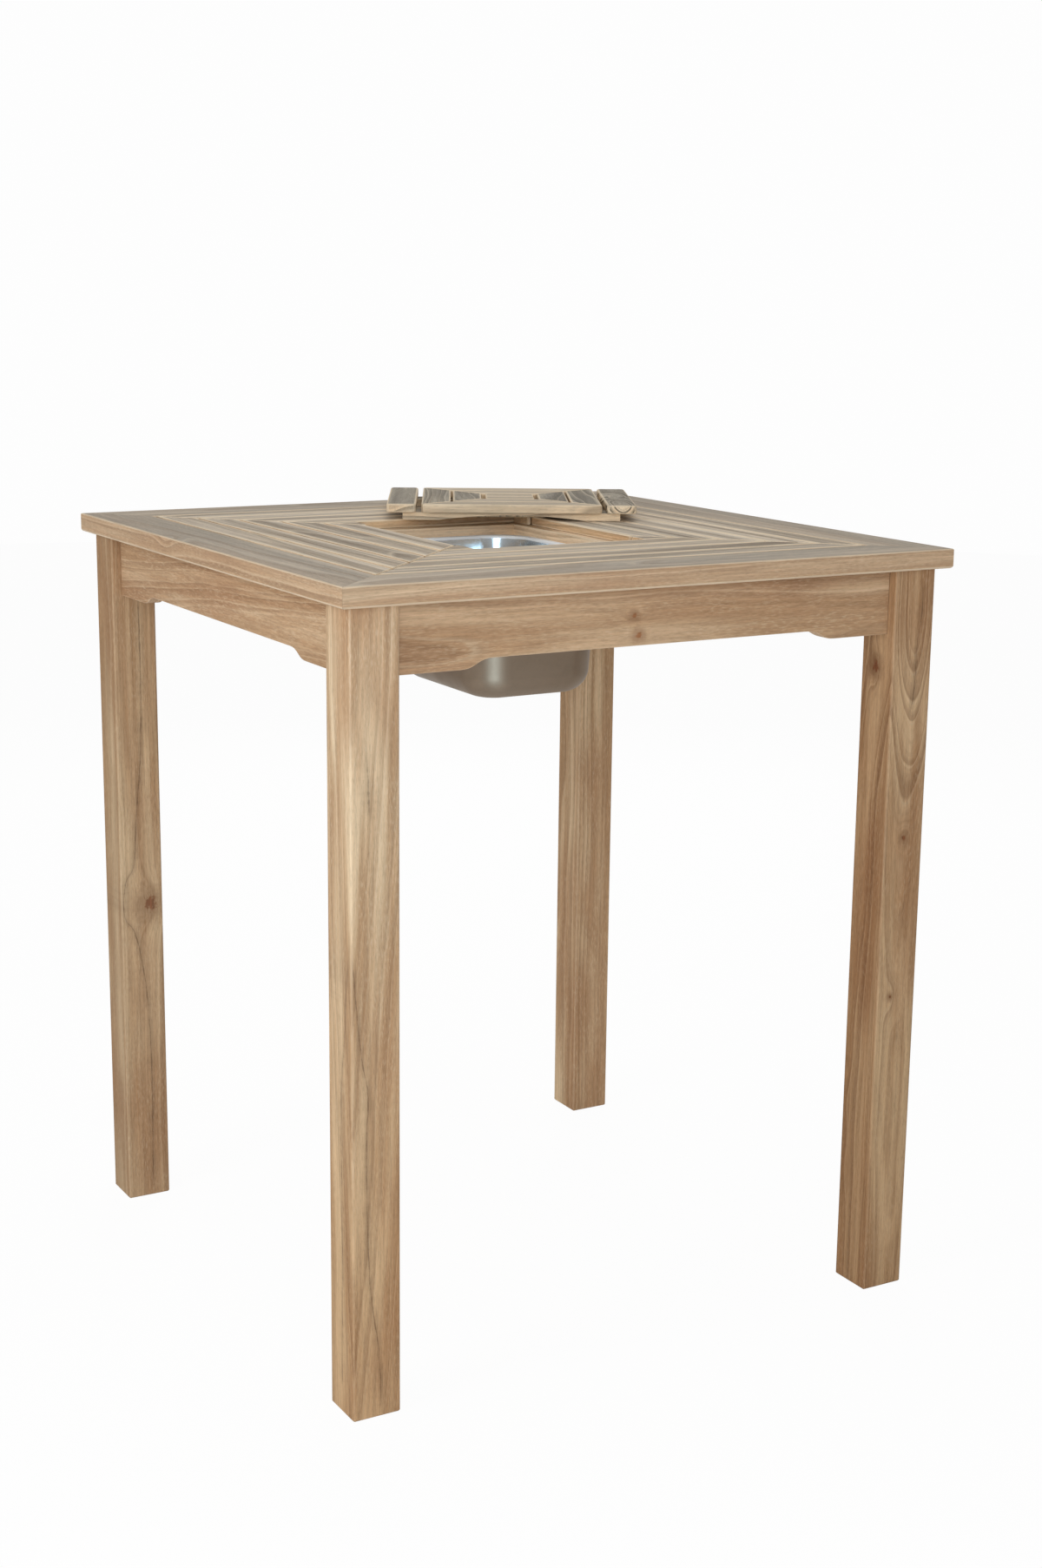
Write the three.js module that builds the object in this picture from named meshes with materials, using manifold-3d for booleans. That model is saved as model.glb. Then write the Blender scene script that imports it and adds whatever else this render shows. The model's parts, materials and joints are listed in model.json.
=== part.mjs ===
// A square bar table in teak, with a steel ice bucket let into the middle of its slatted top and a
// loose slatted lid that closes the opening. The lid lies taken off, on the top beside the bucket.
// Units are millimetres. Z is up, the floor is z = 0 and the origin is under the table's centre.
// The front is the side at -Y and the left is the side at -X.

import * as THREE from "three";
import { mergeVertices } from "three/addons/utils/BufferGeometryUtils.js";
import Module from "manifold-3d";

const wasm = await Module();
wasm.setup();

// Overall
const TABLE_SIDE = 889;
const TABLE_HEIGHT = 1041;
const FIT_GAP = 0.3; // daylight between two faces that touch
const OVERRUN = 5; // how far a cutting solid runs past what it cuts
const MERGE_DISTANCE = 0.001;

// Legs
const LEG_SIDE = 65;
const LEG_ARRIS = 3;
const LEG_END_EASE = 1.5;
const TOP_OVERHANG = 16; // from a leg's outer face to the edge of the top

// Aprons
const APRON_THICK = 22;
const APRON_SETBACK = 14; // from the leg's outer face
const APRON_END_DEPTH = 86;
const OGEE_RISE = 12;
const OGEE_START = 88; // from the leg's inner face to the foot of the ogee
const OGEE_LENGTH = 44;
const APRON_EASE = 1.2;

// Tenons on the aprons, mitred where two of them meet inside a leg
const TENON_THICK = 10;
const TENON_TOP_SHOULDER = 14;
const TENON_LOW_SHOULDER = 10;

// Frame boards of the top
const BOARD_WIDTH = 81;
const BOARD_THICK = 26;
const BOARD_TOP_ARRIS = 2;
const BOARD_LOW_ARRIS = 4;

// Slats of the top. Their width is what the rings leave between the frame and the opening.
const SLAT_THICK = 12.5;
const SLAT_GAP = 3.5;
const SLAT_EASE = 2;
const MITRE_GAP = 2.5; // across the diagonal joint between two slats
const FULL_RINGS = 4;
const STUB_REACH = 5; // how far a corner stub stands past the side slat's edge, into the opening
const STUB_ROUND = 10;

// Bucket, pressed from sheet, with a flange that is turned down at its edge
const MOUTH_X = 202;
const MOUTH_Y = 268;
const BUCKET_DEPTH = 190;
const BUCKET_WALL = 1;
const BUCKET_DRAFT = 6; // how far the wall leans in from the mouth to the floor
const BUCKET_CORNER = 54;
const FLOOR_BEND = 30;
const MOUTH_BEND = 5;
const FLANGE_WIDTH = 16;
const FLANGE_CORNER = 60;
const FLANGE_LIP = 4;
const FLANGE_DROP = 24.8; // from the face of the top down to the flange

const OPENING_PLAY = 19; // from the flange to the long edges of the opening in the top

// Bearers and cleats under the slats
const BEARER_WIDTH = 40;
const BEARER_DEPTH = 38;
const BUCKET_PLAY_X = 4; // between the flange and the rebate round it
const BUCKET_PLAY_Y = 11;
const LEDGE_BITE = 9; // how far the rebate's ledge reaches under the flange
const SIDE_BEARER_WIDTH = 60;
const CLEAT_WIDTH = 60;
const CLEAT_THICK = 20;
const BEARER_EASE = 1;

// Lid
const LID_SLAT_WIDTH = 42;
const LID_PLAY = 1.75; // between the lid and the opening, all round
const LID_END_GAP = 8; // open slot beside each end piece
const LID_RINGS = 2;
const LID_CENTRE_GAP = 3; // extra gap at the ends of the two centre boards
const BATTEN_WIDTH = 45;
const CROSS_BATTEN_WIDTH = 100;
const BATTEN_THICK = 11;
const BATTEN_END_INSET = 23;
const BATTEN_SIDE_INSET = 10;
const BATTEN_EASE = 1;

// Where the lid has been laid down, and how it is turned
const LID_X = 136;
const LID_Y = 201;
const LID_TURN = -28; // degrees

// Fineness of rounded edges
const EASE_STEPS = 2;
const ARRIS_STEPS = 3;
const OGEE_STEPS = 10;
const CORNER_STEPS = 7;
const BEND_STEPS = 5;

// Places that follow from the sizes above
const tableHalf = TABLE_SIDE / 2;
const quarterTurn = Math.PI / 2;
const legOuter = tableHalf - TOP_OVERHANG;
const legInner = legOuter - LEG_SIDE;
const boardInner = tableHalf - BOARD_WIDTH;
const boardUnderside = TABLE_HEIGHT - BOARD_THICK;
const slatUnderside = TABLE_HEIGHT - SLAT_THICK;
const legTop = boardUnderside - FIT_GAP;
const apronOuter = legOuter - APRON_SETBACK;
const apronInner = apronOuter - APRON_THICK;
const tenonMiddle = apronOuter - APRON_THICK / 2;
const flangeTop = TABLE_HEIGHT - FLANGE_DROP;
const flangeHalfX = MOUTH_X / 2 + FLANGE_WIDTH;
const flangeHalfY = MOUTH_Y / 2 + FLANGE_WIDTH;
const openingHalfX = flangeHalfX + OPENING_PLAY;
const slatPitch = (boardInner - openingHalfX) / (FULL_RINGS + 1);
const slatWidth = slatPitch - SLAT_GAP;
const openingHalfY = openingHalfX + slatPitch;
const stubEnd = openingHalfX - STUB_REACH;
const ringOuter = (ring) => boardInner - SLAT_GAP - ring * slatPitch;
const ringInner = (ring) => ringOuter(ring) - slatWidth;
const bearerTop = slatUnderside - FIT_GAP;
const bearerBottom = bearerTop - BEARER_DEPTH;
const rebateTop = flangeTop - FLANGE_LIP - FIT_GAP;
const rebateHalfX = flangeHalfX + BUCKET_PLAY_X;
const rebateHalfY = flangeHalfY + BUCKET_PLAY_Y;
const ledgeHalfX = flangeHalfX - LEDGE_BITE;
const ledgeHalfY = flangeHalfY - LEDGE_BITE;
const bearerOuter = rebateHalfX + BEARER_WIDTH;
const bearerEnd = apronInner - FIT_GAP;
const notchEnd = Math.min(boardInner, legInner) - FIT_GAP;

const sides = ["front", "right", "back", "left"];
const legNames = ["front_left", "front_right", "back_right", "back_left"];

// Finishes
const teak = (colour) => new THREE.MeshStandardMaterial({ color: colour, roughness: 0.75, metalness: 0 });
const legTeak = teak(0xb69a78);
const boardTeak = teak(0xb3a189);
const slatTeak = teak(0xa99c88);
const innerTeak = teak(0xbb9264);
const lidTeak = teak(0x968d7c);
const steel = new THREE.MeshStandardMaterial({ color: 0x9c968c, roughness: 0.3, metalness: 1 });

const table = new THREE.Group();

function addPiece(parent, name, geometry, material, turn = 0) {
  const piece = new THREE.Mesh(geometry, material);
  piece.name = name;
  piece.rotation.z = turn;
  parent.add(piece);
  return piece;
}

// Solids for cutting and joining
function toSolid(geometry) {
  const bare = geometry.index ? geometry.toNonIndexed() : geometry.clone();
  bare.deleteAttribute("normal");
  bare.deleteAttribute("uv");
  const merged = mergeVertices(bare, MERGE_DISTANCE);
  return new wasm.Manifold(
    new wasm.Mesh({
      numProp: 3,
      vertProperties: merged.getAttribute("position").array,
      triVerts: Uint32Array.from(merged.index.array),
    }),
  );
}

function toGeometry(solid) {
  const mesh = solid.getMesh();
  const geometry = new THREE.BufferGeometry();
  geometry.setAttribute("position", new THREE.BufferAttribute(mesh.vertProperties, 3));
  geometry.setIndex(new THREE.BufferAttribute(mesh.triVerts, 1));
  return geometry;
}

// A flat piece with the given outline, from one height to another, all its edges eased.
function plank(outline, low, high, ease) {
  const points = (pairs) => pairs.map(([x, y]) => new THREE.Vector2(x, y));
  const shape = Array.isArray(outline) ? new THREE.Shape(points(outline)) : outline;
  const geometry = new THREE.ExtrudeGeometry(shape, {
    depth: high - low - 2 * ease,
    bevelEnabled: ease > 0,
    bevelThickness: ease,
    bevelSize: ease,
    bevelOffset: -ease,
    bevelSegments: EASE_STEPS,
    curveSegments: OGEE_STEPS,
  });
  return geometry.translate(0, 0, low + ease);
}

// A rectangle with rounded corners: [radius at low x low y, high x low y, high x high y, low x high y].
function roundedRectangle(lowX, lowY, highX, highY, radii) {
  const [a, b, c, d] = radii;
  const shape = new THREE.Shape();
  shape.moveTo(lowX + a, lowY);
  shape.lineTo(highX - b, lowY);
  shape.absarc(highX - b, lowY + b, b, -quarterTurn, 0);
  shape.lineTo(highX, highY - c);
  shape.absarc(highX - c, highY - c, c, 0, quarterTurn);
  shape.lineTo(lowX + d, highY);
  shape.absarc(lowX + d, highY - d, d, quarterTurn, 2 * quarterTurn);
  shape.lineTo(lowX, lowY + a);
  shape.absarc(lowX + a, lowY + a, a, 2 * quarterTurn, 3 * quarterTurn);
  return shape;
}

// The plan of the front apron's tenon at its left end. Its tip is mitred along the leg's diagonal,
// where it meets the tenon of the left apron. The grown outline is the mortise round it.
function tenonPlan(grow) {
  const inner = tenonMiddle - TENON_THICK / 2 - grow;
  const outer = tenonMiddle + TENON_THICK / 2 + grow;
  const root = legInner - OVERRUN;
  const mitre = (grow > 0 ? grow : -FIT_GAP) * Math.SQRT2;
  return [
    [-root, -inner],
    [-inner - mitre, -inner],
    [-outer - mitre, -outer],
    [-root, -outer],
  ];
}

const apronBottom = legTop - APRON_END_DEPTH;
const tenonLow = apronBottom + TENON_LOW_SHOULDER;
const tenonHigh = legTop - TENON_TOP_SHOULDER;

// Legs: square posts with rounded arrises, each with two mortises that meet inside.
function makeLeg() {
  const arrises = [LEG_ARRIS, LEG_ARRIS, LEG_ARRIS, LEG_ARRIS];
  const section = roundedRectangle(-legOuter, -legOuter, -legInner, -legInner, arrises);
  const post = new THREE.ExtrudeGeometry(section, {
    depth: legTop - 2 * LEG_END_EASE,
    bevelEnabled: true,
    bevelThickness: LEG_END_EASE,
    bevelSize: LEG_END_EASE,
    bevelOffset: -LEG_END_EASE,
    bevelSegments: 1,
    curveSegments: ARRIS_STEPS,
  }).translate(0, 0, LEG_END_EASE);
  const plan = tenonPlan(FIT_GAP);
  const across = plan.map(([x, y]) => [y, x]);
  const mortise = (outline) => toSolid(plank(outline, tenonLow - FIT_GAP, tenonHigh + FIT_GAP, 0));
  return toGeometry(toSolid(post).subtract(mortise(plan)).subtract(mortise(across)));
}

// Aprons: boards with an ogee near each end of the lower edge and a tenon at each end.
function makeApron() {
  const end = legInner - FIT_GAP;
  const ogeeFoot = legInner - OGEE_START;
  const ogeeHead = ogeeFoot - OGEE_LENGTH;
  const middleBottom = apronBottom + OGEE_RISE;
  const half = OGEE_LENGTH / 2;
  const face = new THREE.Shape();
  face.moveTo(-end, legTop);
  face.lineTo(-end, apronBottom);
  face.lineTo(-ogeeFoot, apronBottom);
  face.bezierCurveTo(-ogeeFoot + half, apronBottom, -ogeeHead - half, middleBottom, -ogeeHead, middleBottom);
  face.lineTo(ogeeHead, middleBottom);
  face.bezierCurveTo(ogeeHead + half, middleBottom, ogeeFoot - half, apronBottom, ogeeFoot, apronBottom);
  face.lineTo(end, apronBottom);
  face.lineTo(end, legTop);
  const board = plank(face, apronInner, apronOuter, APRON_EASE).rotateX(quarterTurn);
  const leftPlan = tenonPlan(0);
  const rightPlan = leftPlan.map(([x, y]) => [-x, y]);
  const tenon = (outline) => toSolid(plank(outline, tenonLow, tenonHigh, 0));
  return toGeometry(toSolid(board).add(tenon(leftPlan)).add(tenon(rightPlan)));
}

// Frame boards: rounded along their length and mitred at the ends.
function makeFrameBoard() {
  const radii = [BOARD_LOW_ARRIS, BOARD_TOP_ARRIS, BOARD_TOP_ARRIS, BOARD_TOP_ARRIS];
  const section = roundedRectangle(-tableHalf, boardUnderside, -boardInner, TABLE_HEIGHT, radii);
  const bar = new THREE.ExtrudeGeometry(section, {
    depth: TABLE_SIDE,
    bevelEnabled: false,
    curveSegments: ARRIS_STEPS,
  });
  // The section is drawn in X and Y. Its X becomes the table's Y, its Y the table's Z, and the
  // extrusion runs along the table's X.
  const toTable = new THREE.Matrix4().makeBasis(
    new THREE.Vector3(0, 1, 0),
    new THREE.Vector3(0, 0, 1),
    new THREE.Vector3(1, 0, 0),
  );
  bar.translate(0, 0, -tableHalf).applyMatrix4(toTable);
  const outer = tableHalf + OVERRUN;
  const inner = boardInner - OVERRUN;
  const joint = FIT_GAP / Math.SQRT2;
  const wedge = [
    [-outer + joint, -outer],
    [outer - joint, -outer],
    [inner - joint, -inner],
    [-inner + joint, -inner],
  ];
  const mitred = toSolid(plank(wedge, boardUnderside - OVERRUN, TABLE_HEIGHT + OVERRUN, 0));
  return toGeometry(toSolid(bar).intersect(mitred));
}

// A slat of the front quarter, mitred at both ends. Its outer edge reaches out to the given corner.
function mitredSlat(outerX, outerY, width, low, high) {
  const joint = MITRE_GAP / Math.SQRT2;
  const outline = [
    [-outerX + joint, -outerY],
    [outerX - joint, -outerY],
    [outerX - width - joint, -outerY + width],
    [-outerX + width + joint, -outerY + width],
  ];
  return plank(outline, low, high, SLAT_EASE);
}

// A corner stub: what is left of the front quarter's fifth row beside the opening.
function makeStub(handX, handY) {
  const outer = ringOuter(FULL_RINGS);
  const inner = ringInner(FULL_RINGS);
  const joint = MITRE_GAP / Math.SQRT2;
  const shape = new THREE.Shape();
  shape.moveTo(handX * (outer - joint), handY * outer);
  shape.lineTo(handX * stubEnd, handY * outer);
  shape.lineTo(handX * stubEnd, handY * (inner + STUB_ROUND));
  shape.quadraticCurveTo(handX * stubEnd, handY * inner, handX * (inner - joint), handY * inner);
  const geometry = new THREE.ExtrudeGeometry(shape, {
    depth: SLAT_THICK - 2 * SLAT_EASE,
    bevelEnabled: true,
    bevelThickness: SLAT_EASE,
    bevelSize: SLAT_EASE / 2,
    bevelOffset: -SLAT_EASE / 2,
    bevelSegments: EASE_STEPS,
    curveSegments: ARRIS_STEPS,
  });
  return geometry.translate(0, 0, slatUnderside + SLAT_EASE);
}

// The long bearers run from the front apron to the back one and carry the bucket on a rebate. Their
// ends are notched under the frame boards.
function makeLongBearer(hand) {
  const bar = (inner, outer, half, top) => {
    const outline = [
      [hand * inner, -half],
      [hand * outer, -half],
      [hand * outer, half],
      [hand * inner, half],
    ];
    return toSolid(plank(outline, bearerBottom, top, BEARER_EASE));
  };
  const beam = bar(rebateHalfX, bearerOuter, bearerEnd, legTop);
  const upper = bar(rebateHalfX, bearerOuter, notchEnd, bearerTop);
  const ledge = bar(ledgeHalfX, rebateHalfX + BEARER_WIDTH / 2, rebateHalfY - FIT_GAP, rebateTop);
  return toGeometry(beam.add(upper).add(ledge));
}

// The cross rails close the bucket's frame between the long bearers, with the same rebate.
function makeCrossRail(hand) {
  const bar = (half, inner, outer, top) => {
    const outline = [
      [-half, hand * inner],
      [half, hand * inner],
      [half, hand * outer],
      [-half, hand * outer],
    ];
    return toSolid(plank(outline, bearerBottom, top, BEARER_EASE));
  };
  const rail = bar(rebateHalfX - FIT_GAP, rebateHalfY, rebateHalfY + BEARER_WIDTH, bearerTop);
  const ledge = bar(ledgeHalfX - FIT_GAP, ledgeHalfY, rebateHalfY + BEARER_WIDTH / 2, rebateTop);
  return toGeometry(rail.add(ledge));
}

// The side bearers hold the left and right slats up at mid span.
function makeSideBearer(hand) {
  const half = SIDE_BEARER_WIDTH / 2;
  const start = bearerOuter + FIT_GAP;
  const bar = (end, top) => {
    const outline = [
      [hand * start, -half],
      [hand * end, -half],
      [hand * end, half],
      [hand * start, half],
    ];
    return toSolid(plank(outline, bearerBottom, top, BEARER_EASE));
  };
  return toGeometry(bar(bearerEnd, legTop).add(bar(notchEnd, bearerTop)));
}

// The diagonal cleats run from the frame's inner corners to the long bearers, under the mitres.
function makeCleat(handX, handY) {
  const half = CLEAT_WIDTH / Math.SQRT2;
  const tip = notchEnd;
  const foot = bearerOuter + FIT_GAP;
  const outline = [
    [tip, tip],
    [tip - half, tip],
    [foot, foot + half],
    [foot, foot - half],
    [tip, tip - half],
  ].map(([x, y]) => [handX * x, handY * y]);
  return plank(outline, bearerTop - CLEAT_THICK, bearerTop, BEARER_EASE);
}

// One level of the bucket's shell: a rounded rectangle, counter-clockwise seen from above.
function roundedRing({ outset, radius, z }) {
  const ring = [];
  for (let turn = 0; turn < 4; turn++) {
    const handX = turn === 0 || turn === 3 ? 1 : -1;
    const handY = turn < 2 ? 1 : -1;
    const centreX = handX * (MOUTH_X / 2 + outset - radius);
    const centreY = handY * (MOUTH_Y / 2 + outset - radius);
    for (let step = 0; step <= CORNER_STEPS; step++) {
      const angle = (turn + step / CORNER_STEPS) * quarterTurn;
      ring.push([centreX + radius * Math.cos(angle), centreY + radius * Math.sin(angle), z]);
    }
  }
  return ring;
}

// A shell through a row of levels, closed by a flat face at its first and last level.
function loftLevels(levels) {
  const rings = levels.map(roundedRing);
  const count = rings[0].length;
  const positions = rings.flat(2);
  const index = [];
  for (let level = 0; level + 1 < rings.length; level++) {
    for (let i = 0; i < count; i++) {
      const next = (i + 1) % count;
      const a = level * count + i;
      const b = level * count + next;
      const c = a + count;
      const d = b + count;
      index.push(a, b, d, a, d, c);
    }
  }
  const first = positions.length / 3;
  positions.push(0, 0, levels[0].z);
  const last = first + 1;
  positions.push(0, 0, levels[levels.length - 1].z);
  const lastRing = (rings.length - 1) * count;
  for (let i = 0; i < count; i++) {
    const next = (i + 1) % count;
    index.push(first, next, i);
    index.push(last, lastRing + i, lastRing + next);
  }
  const geometry = new THREE.BufferGeometry();
  geometry.setAttribute("position", new THREE.Float32BufferAttribute(positions, 3));
  geometry.setIndex(index);
  geometry.computeVertexNormals();
  return geometry;
}

// The levels of one face of the bucket's wall, from the middle of the floor up to the flange. The
// skin is 0 for the inner face and the wall's thickness for the outer one.
function wallLevels(skin) {
  const floor = flangeTop - BUCKET_DEPTH - skin;
  const floorBend = FLOOR_BEND + skin;
  const mouthBend = MOUTH_BEND - skin;
  const level = (outset, z) => ({ outset, radius: BUCKET_CORNER + outset, z });
  const levels = [];
  for (let step = 0; step <= BEND_STEPS; step++) {
    const angle = (step / BEND_STEPS) * quarterTurn;
    const outset = skin - BUCKET_DRAFT - floorBend * (1 - Math.sin(angle));
    levels.push(level(outset, floor + floorBend * (1 - Math.cos(angle))));
  }
  for (let step = 0; step <= BEND_STEPS; step++) {
    const angle = (step / BEND_STEPS) * quarterTurn;
    const outset = skin + mouthBend * (1 - Math.cos(angle));
    levels.push(level(outset, flangeTop - skin - mouthBend * (1 - Math.sin(angle))));
  }
  return levels;
}

function makeBucket() {
  const edge = { outset: FLANGE_WIDTH, radius: FLANGE_CORNER };
  const insideEdge = { outset: FLANGE_WIDTH - BUCKET_WALL, radius: FLANGE_CORNER - BUCKET_WALL };
  const lipEnd = flangeTop - FLANGE_LIP;
  return loftLevels([
    ...wallLevels(BUCKET_WALL),
    { ...insideEdge, z: flangeTop - BUCKET_WALL },
    { ...insideEdge, z: lipEnd },
    { ...edge, z: lipEnd },
    { ...edge, z: flangeTop },
    ...wallLevels(0).reverse(),
  ]);
}

for (const [quarter, side] of sides.entries()) {
  const turn = quarter * quarterTurn;
  addPiece(table, `leg_${legNames[quarter]}`, makeLeg(), legTeak, turn);
  addPiece(table, `apron_${side}`, makeApron(), legTeak, turn);
  addPiece(table, `frame_board_${side}`, makeFrameBoard(), boardTeak, turn);
  for (let ring = 0; ring < FULL_RINGS; ring++) {
    const reach = ringOuter(ring);
    const slat = mitredSlat(reach, reach, slatWidth, slatUnderside, TABLE_HEIGHT);
    addPiece(table, `slat_${side}_${ring + 1}`, slat, slatTeak, turn);
  }
}

for (const side of ["left", "right"]) {
  const turn = sides.indexOf(side) * quarterTurn;
  const hand = side === "left" ? -1 : 1;
  const reach = ringOuter(FULL_RINGS);
  const slat = mitredSlat(reach, reach, slatWidth, slatUnderside, TABLE_HEIGHT);
  addPiece(table, `slat_${side}_${FULL_RINGS + 1}`, slat, slatTeak, turn);
  addPiece(table, `long_bearer_${side}`, makeLongBearer(hand), innerTeak);
  addPiece(table, `side_bearer_${side}`, makeSideBearer(hand), innerTeak);
  for (const end of ["front", "back"]) {
    const handY = end === "front" ? -1 : 1;
    addPiece(table, `corner_stub_${end}_${side}`, makeStub(hand, handY), slatTeak);
    addPiece(table, `diagonal_cleat_${end}_${side}`, makeCleat(hand, handY), innerTeak);
  }
}

addPiece(table, "cross_rail_front", makeCrossRail(-1), innerTeak);
addPiece(table, "cross_rail_back", makeCrossRail(1), innerTeak);
addPiece(table, "ice_bucket", makeBucket(), steel);

// The lid, in a frame of its own: its length along X, its battens' underside at z = 0.
const lid = new THREE.Group();
lid.position.set(LID_X, LID_Y, TABLE_HEIGHT + FIT_GAP);
lid.rotation.z = THREE.MathUtils.degToRad(LID_TURN);
table.add(lid);

const lidHalfLength = openingHalfY - LID_PLAY;
const lidHalfWidth = stubEnd - LID_PLAY;
const lidSlatLow = BATTEN_THICK + FIT_GAP;
const lidSlatHigh = lidSlatLow + SLAT_THICK;
const lidPitch = LID_SLAT_WIDTH + SLAT_GAP;
const lidEndInner = lidHalfLength - LID_SLAT_WIDTH;
const middleHalfLength = lidEndInner - LID_END_GAP;

for (const side of ["left", "right"]) {
  const hand = side === "left" ? -1 : 1;
  const endPiece = [
    [hand * lidEndInner, -lidHalfWidth],
    [hand * lidHalfLength, -lidHalfWidth],
    [hand * lidHalfLength, lidHalfWidth],
    [hand * lidEndInner, lidHalfWidth],
  ];
  addPiece(lid, `lid_end_${side}`, plank(endPiece, lidSlatLow, lidSlatHigh, SLAT_EASE), lidTeak);
}

for (let ring = 0; ring < LID_RINGS; ring++) {
  const reachX = middleHalfLength - ring * lidPitch;
  const reachY = lidHalfWidth - ring * lidPitch;
  for (const [quarter, side] of sides.entries()) {
    const [outerX, outerY] = quarter % 2 === 0 ? [reachX, reachY] : [reachY, reachX];
    const slat = mitredSlat(outerX, outerY, LID_SLAT_WIDTH, lidSlatLow, lidSlatHigh);
    addPiece(lid, `lid_slat_${side}_${ring + 1}`, slat, lidTeak, quarter * quarterTurn);
  }
}

const centreHalfLength = middleHalfLength - LID_RINGS * lidPitch - LID_CENTRE_GAP;
const centreOuter = lidHalfWidth - LID_RINGS * lidPitch;
const battenEnd = lidHalfLength - BATTEN_END_INSET;
const battenOuter = lidHalfWidth - BATTEN_SIDE_INSET;
const battenInner = battenOuter - BATTEN_WIDTH;

for (const end of ["front", "back"]) {
  const hand = end === "front" ? -1 : 1;
  const centreBoard = [
    [-centreHalfLength, (hand * SLAT_GAP) / 2],
    [centreHalfLength, (hand * SLAT_GAP) / 2],
    [centreHalfLength, hand * centreOuter],
    [-centreHalfLength, hand * centreOuter],
  ];
  addPiece(lid, `lid_centre_${end}`, plank(centreBoard, lidSlatLow, lidSlatHigh, SLAT_EASE), lidTeak);
  const batten = [
    [-battenEnd, hand * battenInner],
    [battenEnd, hand * battenInner],
    [battenEnd, hand * battenOuter],
    [-battenEnd, hand * battenOuter],
  ];
  addPiece(lid, `lid_batten_${end}`, plank(batten, 0, BATTEN_THICK, BATTEN_EASE), lidTeak);
}

// The cross batten lies between the other two and carries the inner ring and the centre boards.
const crossHalfWidth = CROSS_BATTEN_WIDTH / 2;
const crossEnd = battenInner - FIT_GAP;
const crossBatten = [
  [-crossHalfWidth, -crossEnd],
  [crossHalfWidth, -crossEnd],
  [crossHalfWidth, crossEnd],
  [-crossHalfWidth, crossEnd],
];
addPiece(lid, "lid_cross_batten", plank(crossBatten, 0, BATTEN_THICK, BATTEN_EASE), lidTeak);

export default table;
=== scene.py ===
# %% [markdown]
# # A teak bar table with an ice bucket
#
# The table stands 1041 mm high. Its top is a mitred frame filled with rings of slats, and a steel
# ice bucket hangs in the middle. A slatted lid closes the opening, and here it lies beside it. The
# solids come from the frame that the first lines load. This lesson sets up the studio, gives the
# solids their wood, rounds the lid, presses the bucket and sets the screws.

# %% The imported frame
import json
import math
import random

import bpy
from mathutils import Matrix, Vector


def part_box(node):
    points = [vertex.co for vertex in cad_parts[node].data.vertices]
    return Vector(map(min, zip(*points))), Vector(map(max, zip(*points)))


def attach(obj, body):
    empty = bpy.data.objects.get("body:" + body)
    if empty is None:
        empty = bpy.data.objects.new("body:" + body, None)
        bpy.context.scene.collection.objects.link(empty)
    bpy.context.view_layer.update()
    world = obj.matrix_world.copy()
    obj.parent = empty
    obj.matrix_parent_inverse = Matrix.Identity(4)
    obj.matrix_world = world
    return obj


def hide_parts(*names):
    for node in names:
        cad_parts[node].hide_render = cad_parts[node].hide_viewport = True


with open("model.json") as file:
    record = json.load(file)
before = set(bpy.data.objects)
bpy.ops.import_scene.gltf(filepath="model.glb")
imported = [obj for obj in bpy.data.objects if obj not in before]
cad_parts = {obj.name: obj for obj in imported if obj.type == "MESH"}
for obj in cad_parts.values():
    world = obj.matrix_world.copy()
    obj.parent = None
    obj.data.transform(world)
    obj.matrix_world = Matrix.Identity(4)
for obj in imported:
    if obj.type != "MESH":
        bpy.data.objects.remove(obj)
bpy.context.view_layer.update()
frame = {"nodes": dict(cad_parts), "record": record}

NODES = frame["nodes"]
MM = 0.001


def middle(node):
    """The middle of a node's box, in metres."""
    low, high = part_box(node)
    return (low + high) / 2


print(f"{len(NODES)} solids in the frame")

# %% [markdown]
# ## Working by hand
#
# An operator acts on everything that is selected, and loading leaves the whole table selected.
# So every step selects one object only, and edges and faces are picked by where they are.


# %% Selecting, picking and naming
def select_only(*pieces):
    """Makes the pieces the only selected objects, and the first one active."""
    bpy.ops.object.select_all(action="DESELECT")
    for piece in pieces:
        piece.select_set(True)
    bpy.context.view_layer.objects.active = pieces[0]


def mode(name):
    bpy.ops.object.mode_set(mode=name)


def pick(piece, kind, test):
    """In edit mode, selects faces by their middle and normal, or edges by their middle and way."""
    bpy.ops.mesh.select_mode(type=kind)
    bpy.ops.mesh.select_all(action="DESELECT")
    mode("OBJECT")
    mesh = piece.data
    if kind == "FACE":
        for face in mesh.polygons:
            face.select = test(face.center, face.normal)
    else:
        for edge in mesh.edges:
            start, end = (mesh.vertices[index].co for index in edge.vertices)
            edge.select = test((start + end) / 2, end - start)
    mode("EDIT")


def round_off(piece, kind, test, radius, segments, border=False):
    """Bevels the edges that are picked, or the border of the faces that are."""
    mode("EDIT")
    pick(piece, kind, test)
    if border:
        bpy.ops.mesh.region_to_loop()
    bpy.ops.mesh.bevel(offset=radius, segments=segments, affect="EDGES")
    mode("OBJECT")


def link_object(name, data):
    """A new object in the scene."""
    made = bpy.data.objects.new(name, data)
    bpy.context.scene.collection.objects.link(made)
    return made


def start_piece(name):
    """Names the primitive that was just added and puts its place into its mesh."""
    piece = bpy.context.view_layer.objects.active
    piece.name = piece.data.name = name
    bpy.ops.object.transform_apply(location=True, rotation=True, scale=True)
    return piece


print(len(bpy.context.selected_objects), "objects are selected after loading")

# %% [markdown]
# ## Camera
#
# The photograph was taken from in front of the table's front left leg, a little above its top. A
# camera was fitted to the corners of the top and the feet, and its place, its three turns and its
# focal length are written here. The long side of the picture is the upright one, so the sensor is
# fitted to that side.

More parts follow.
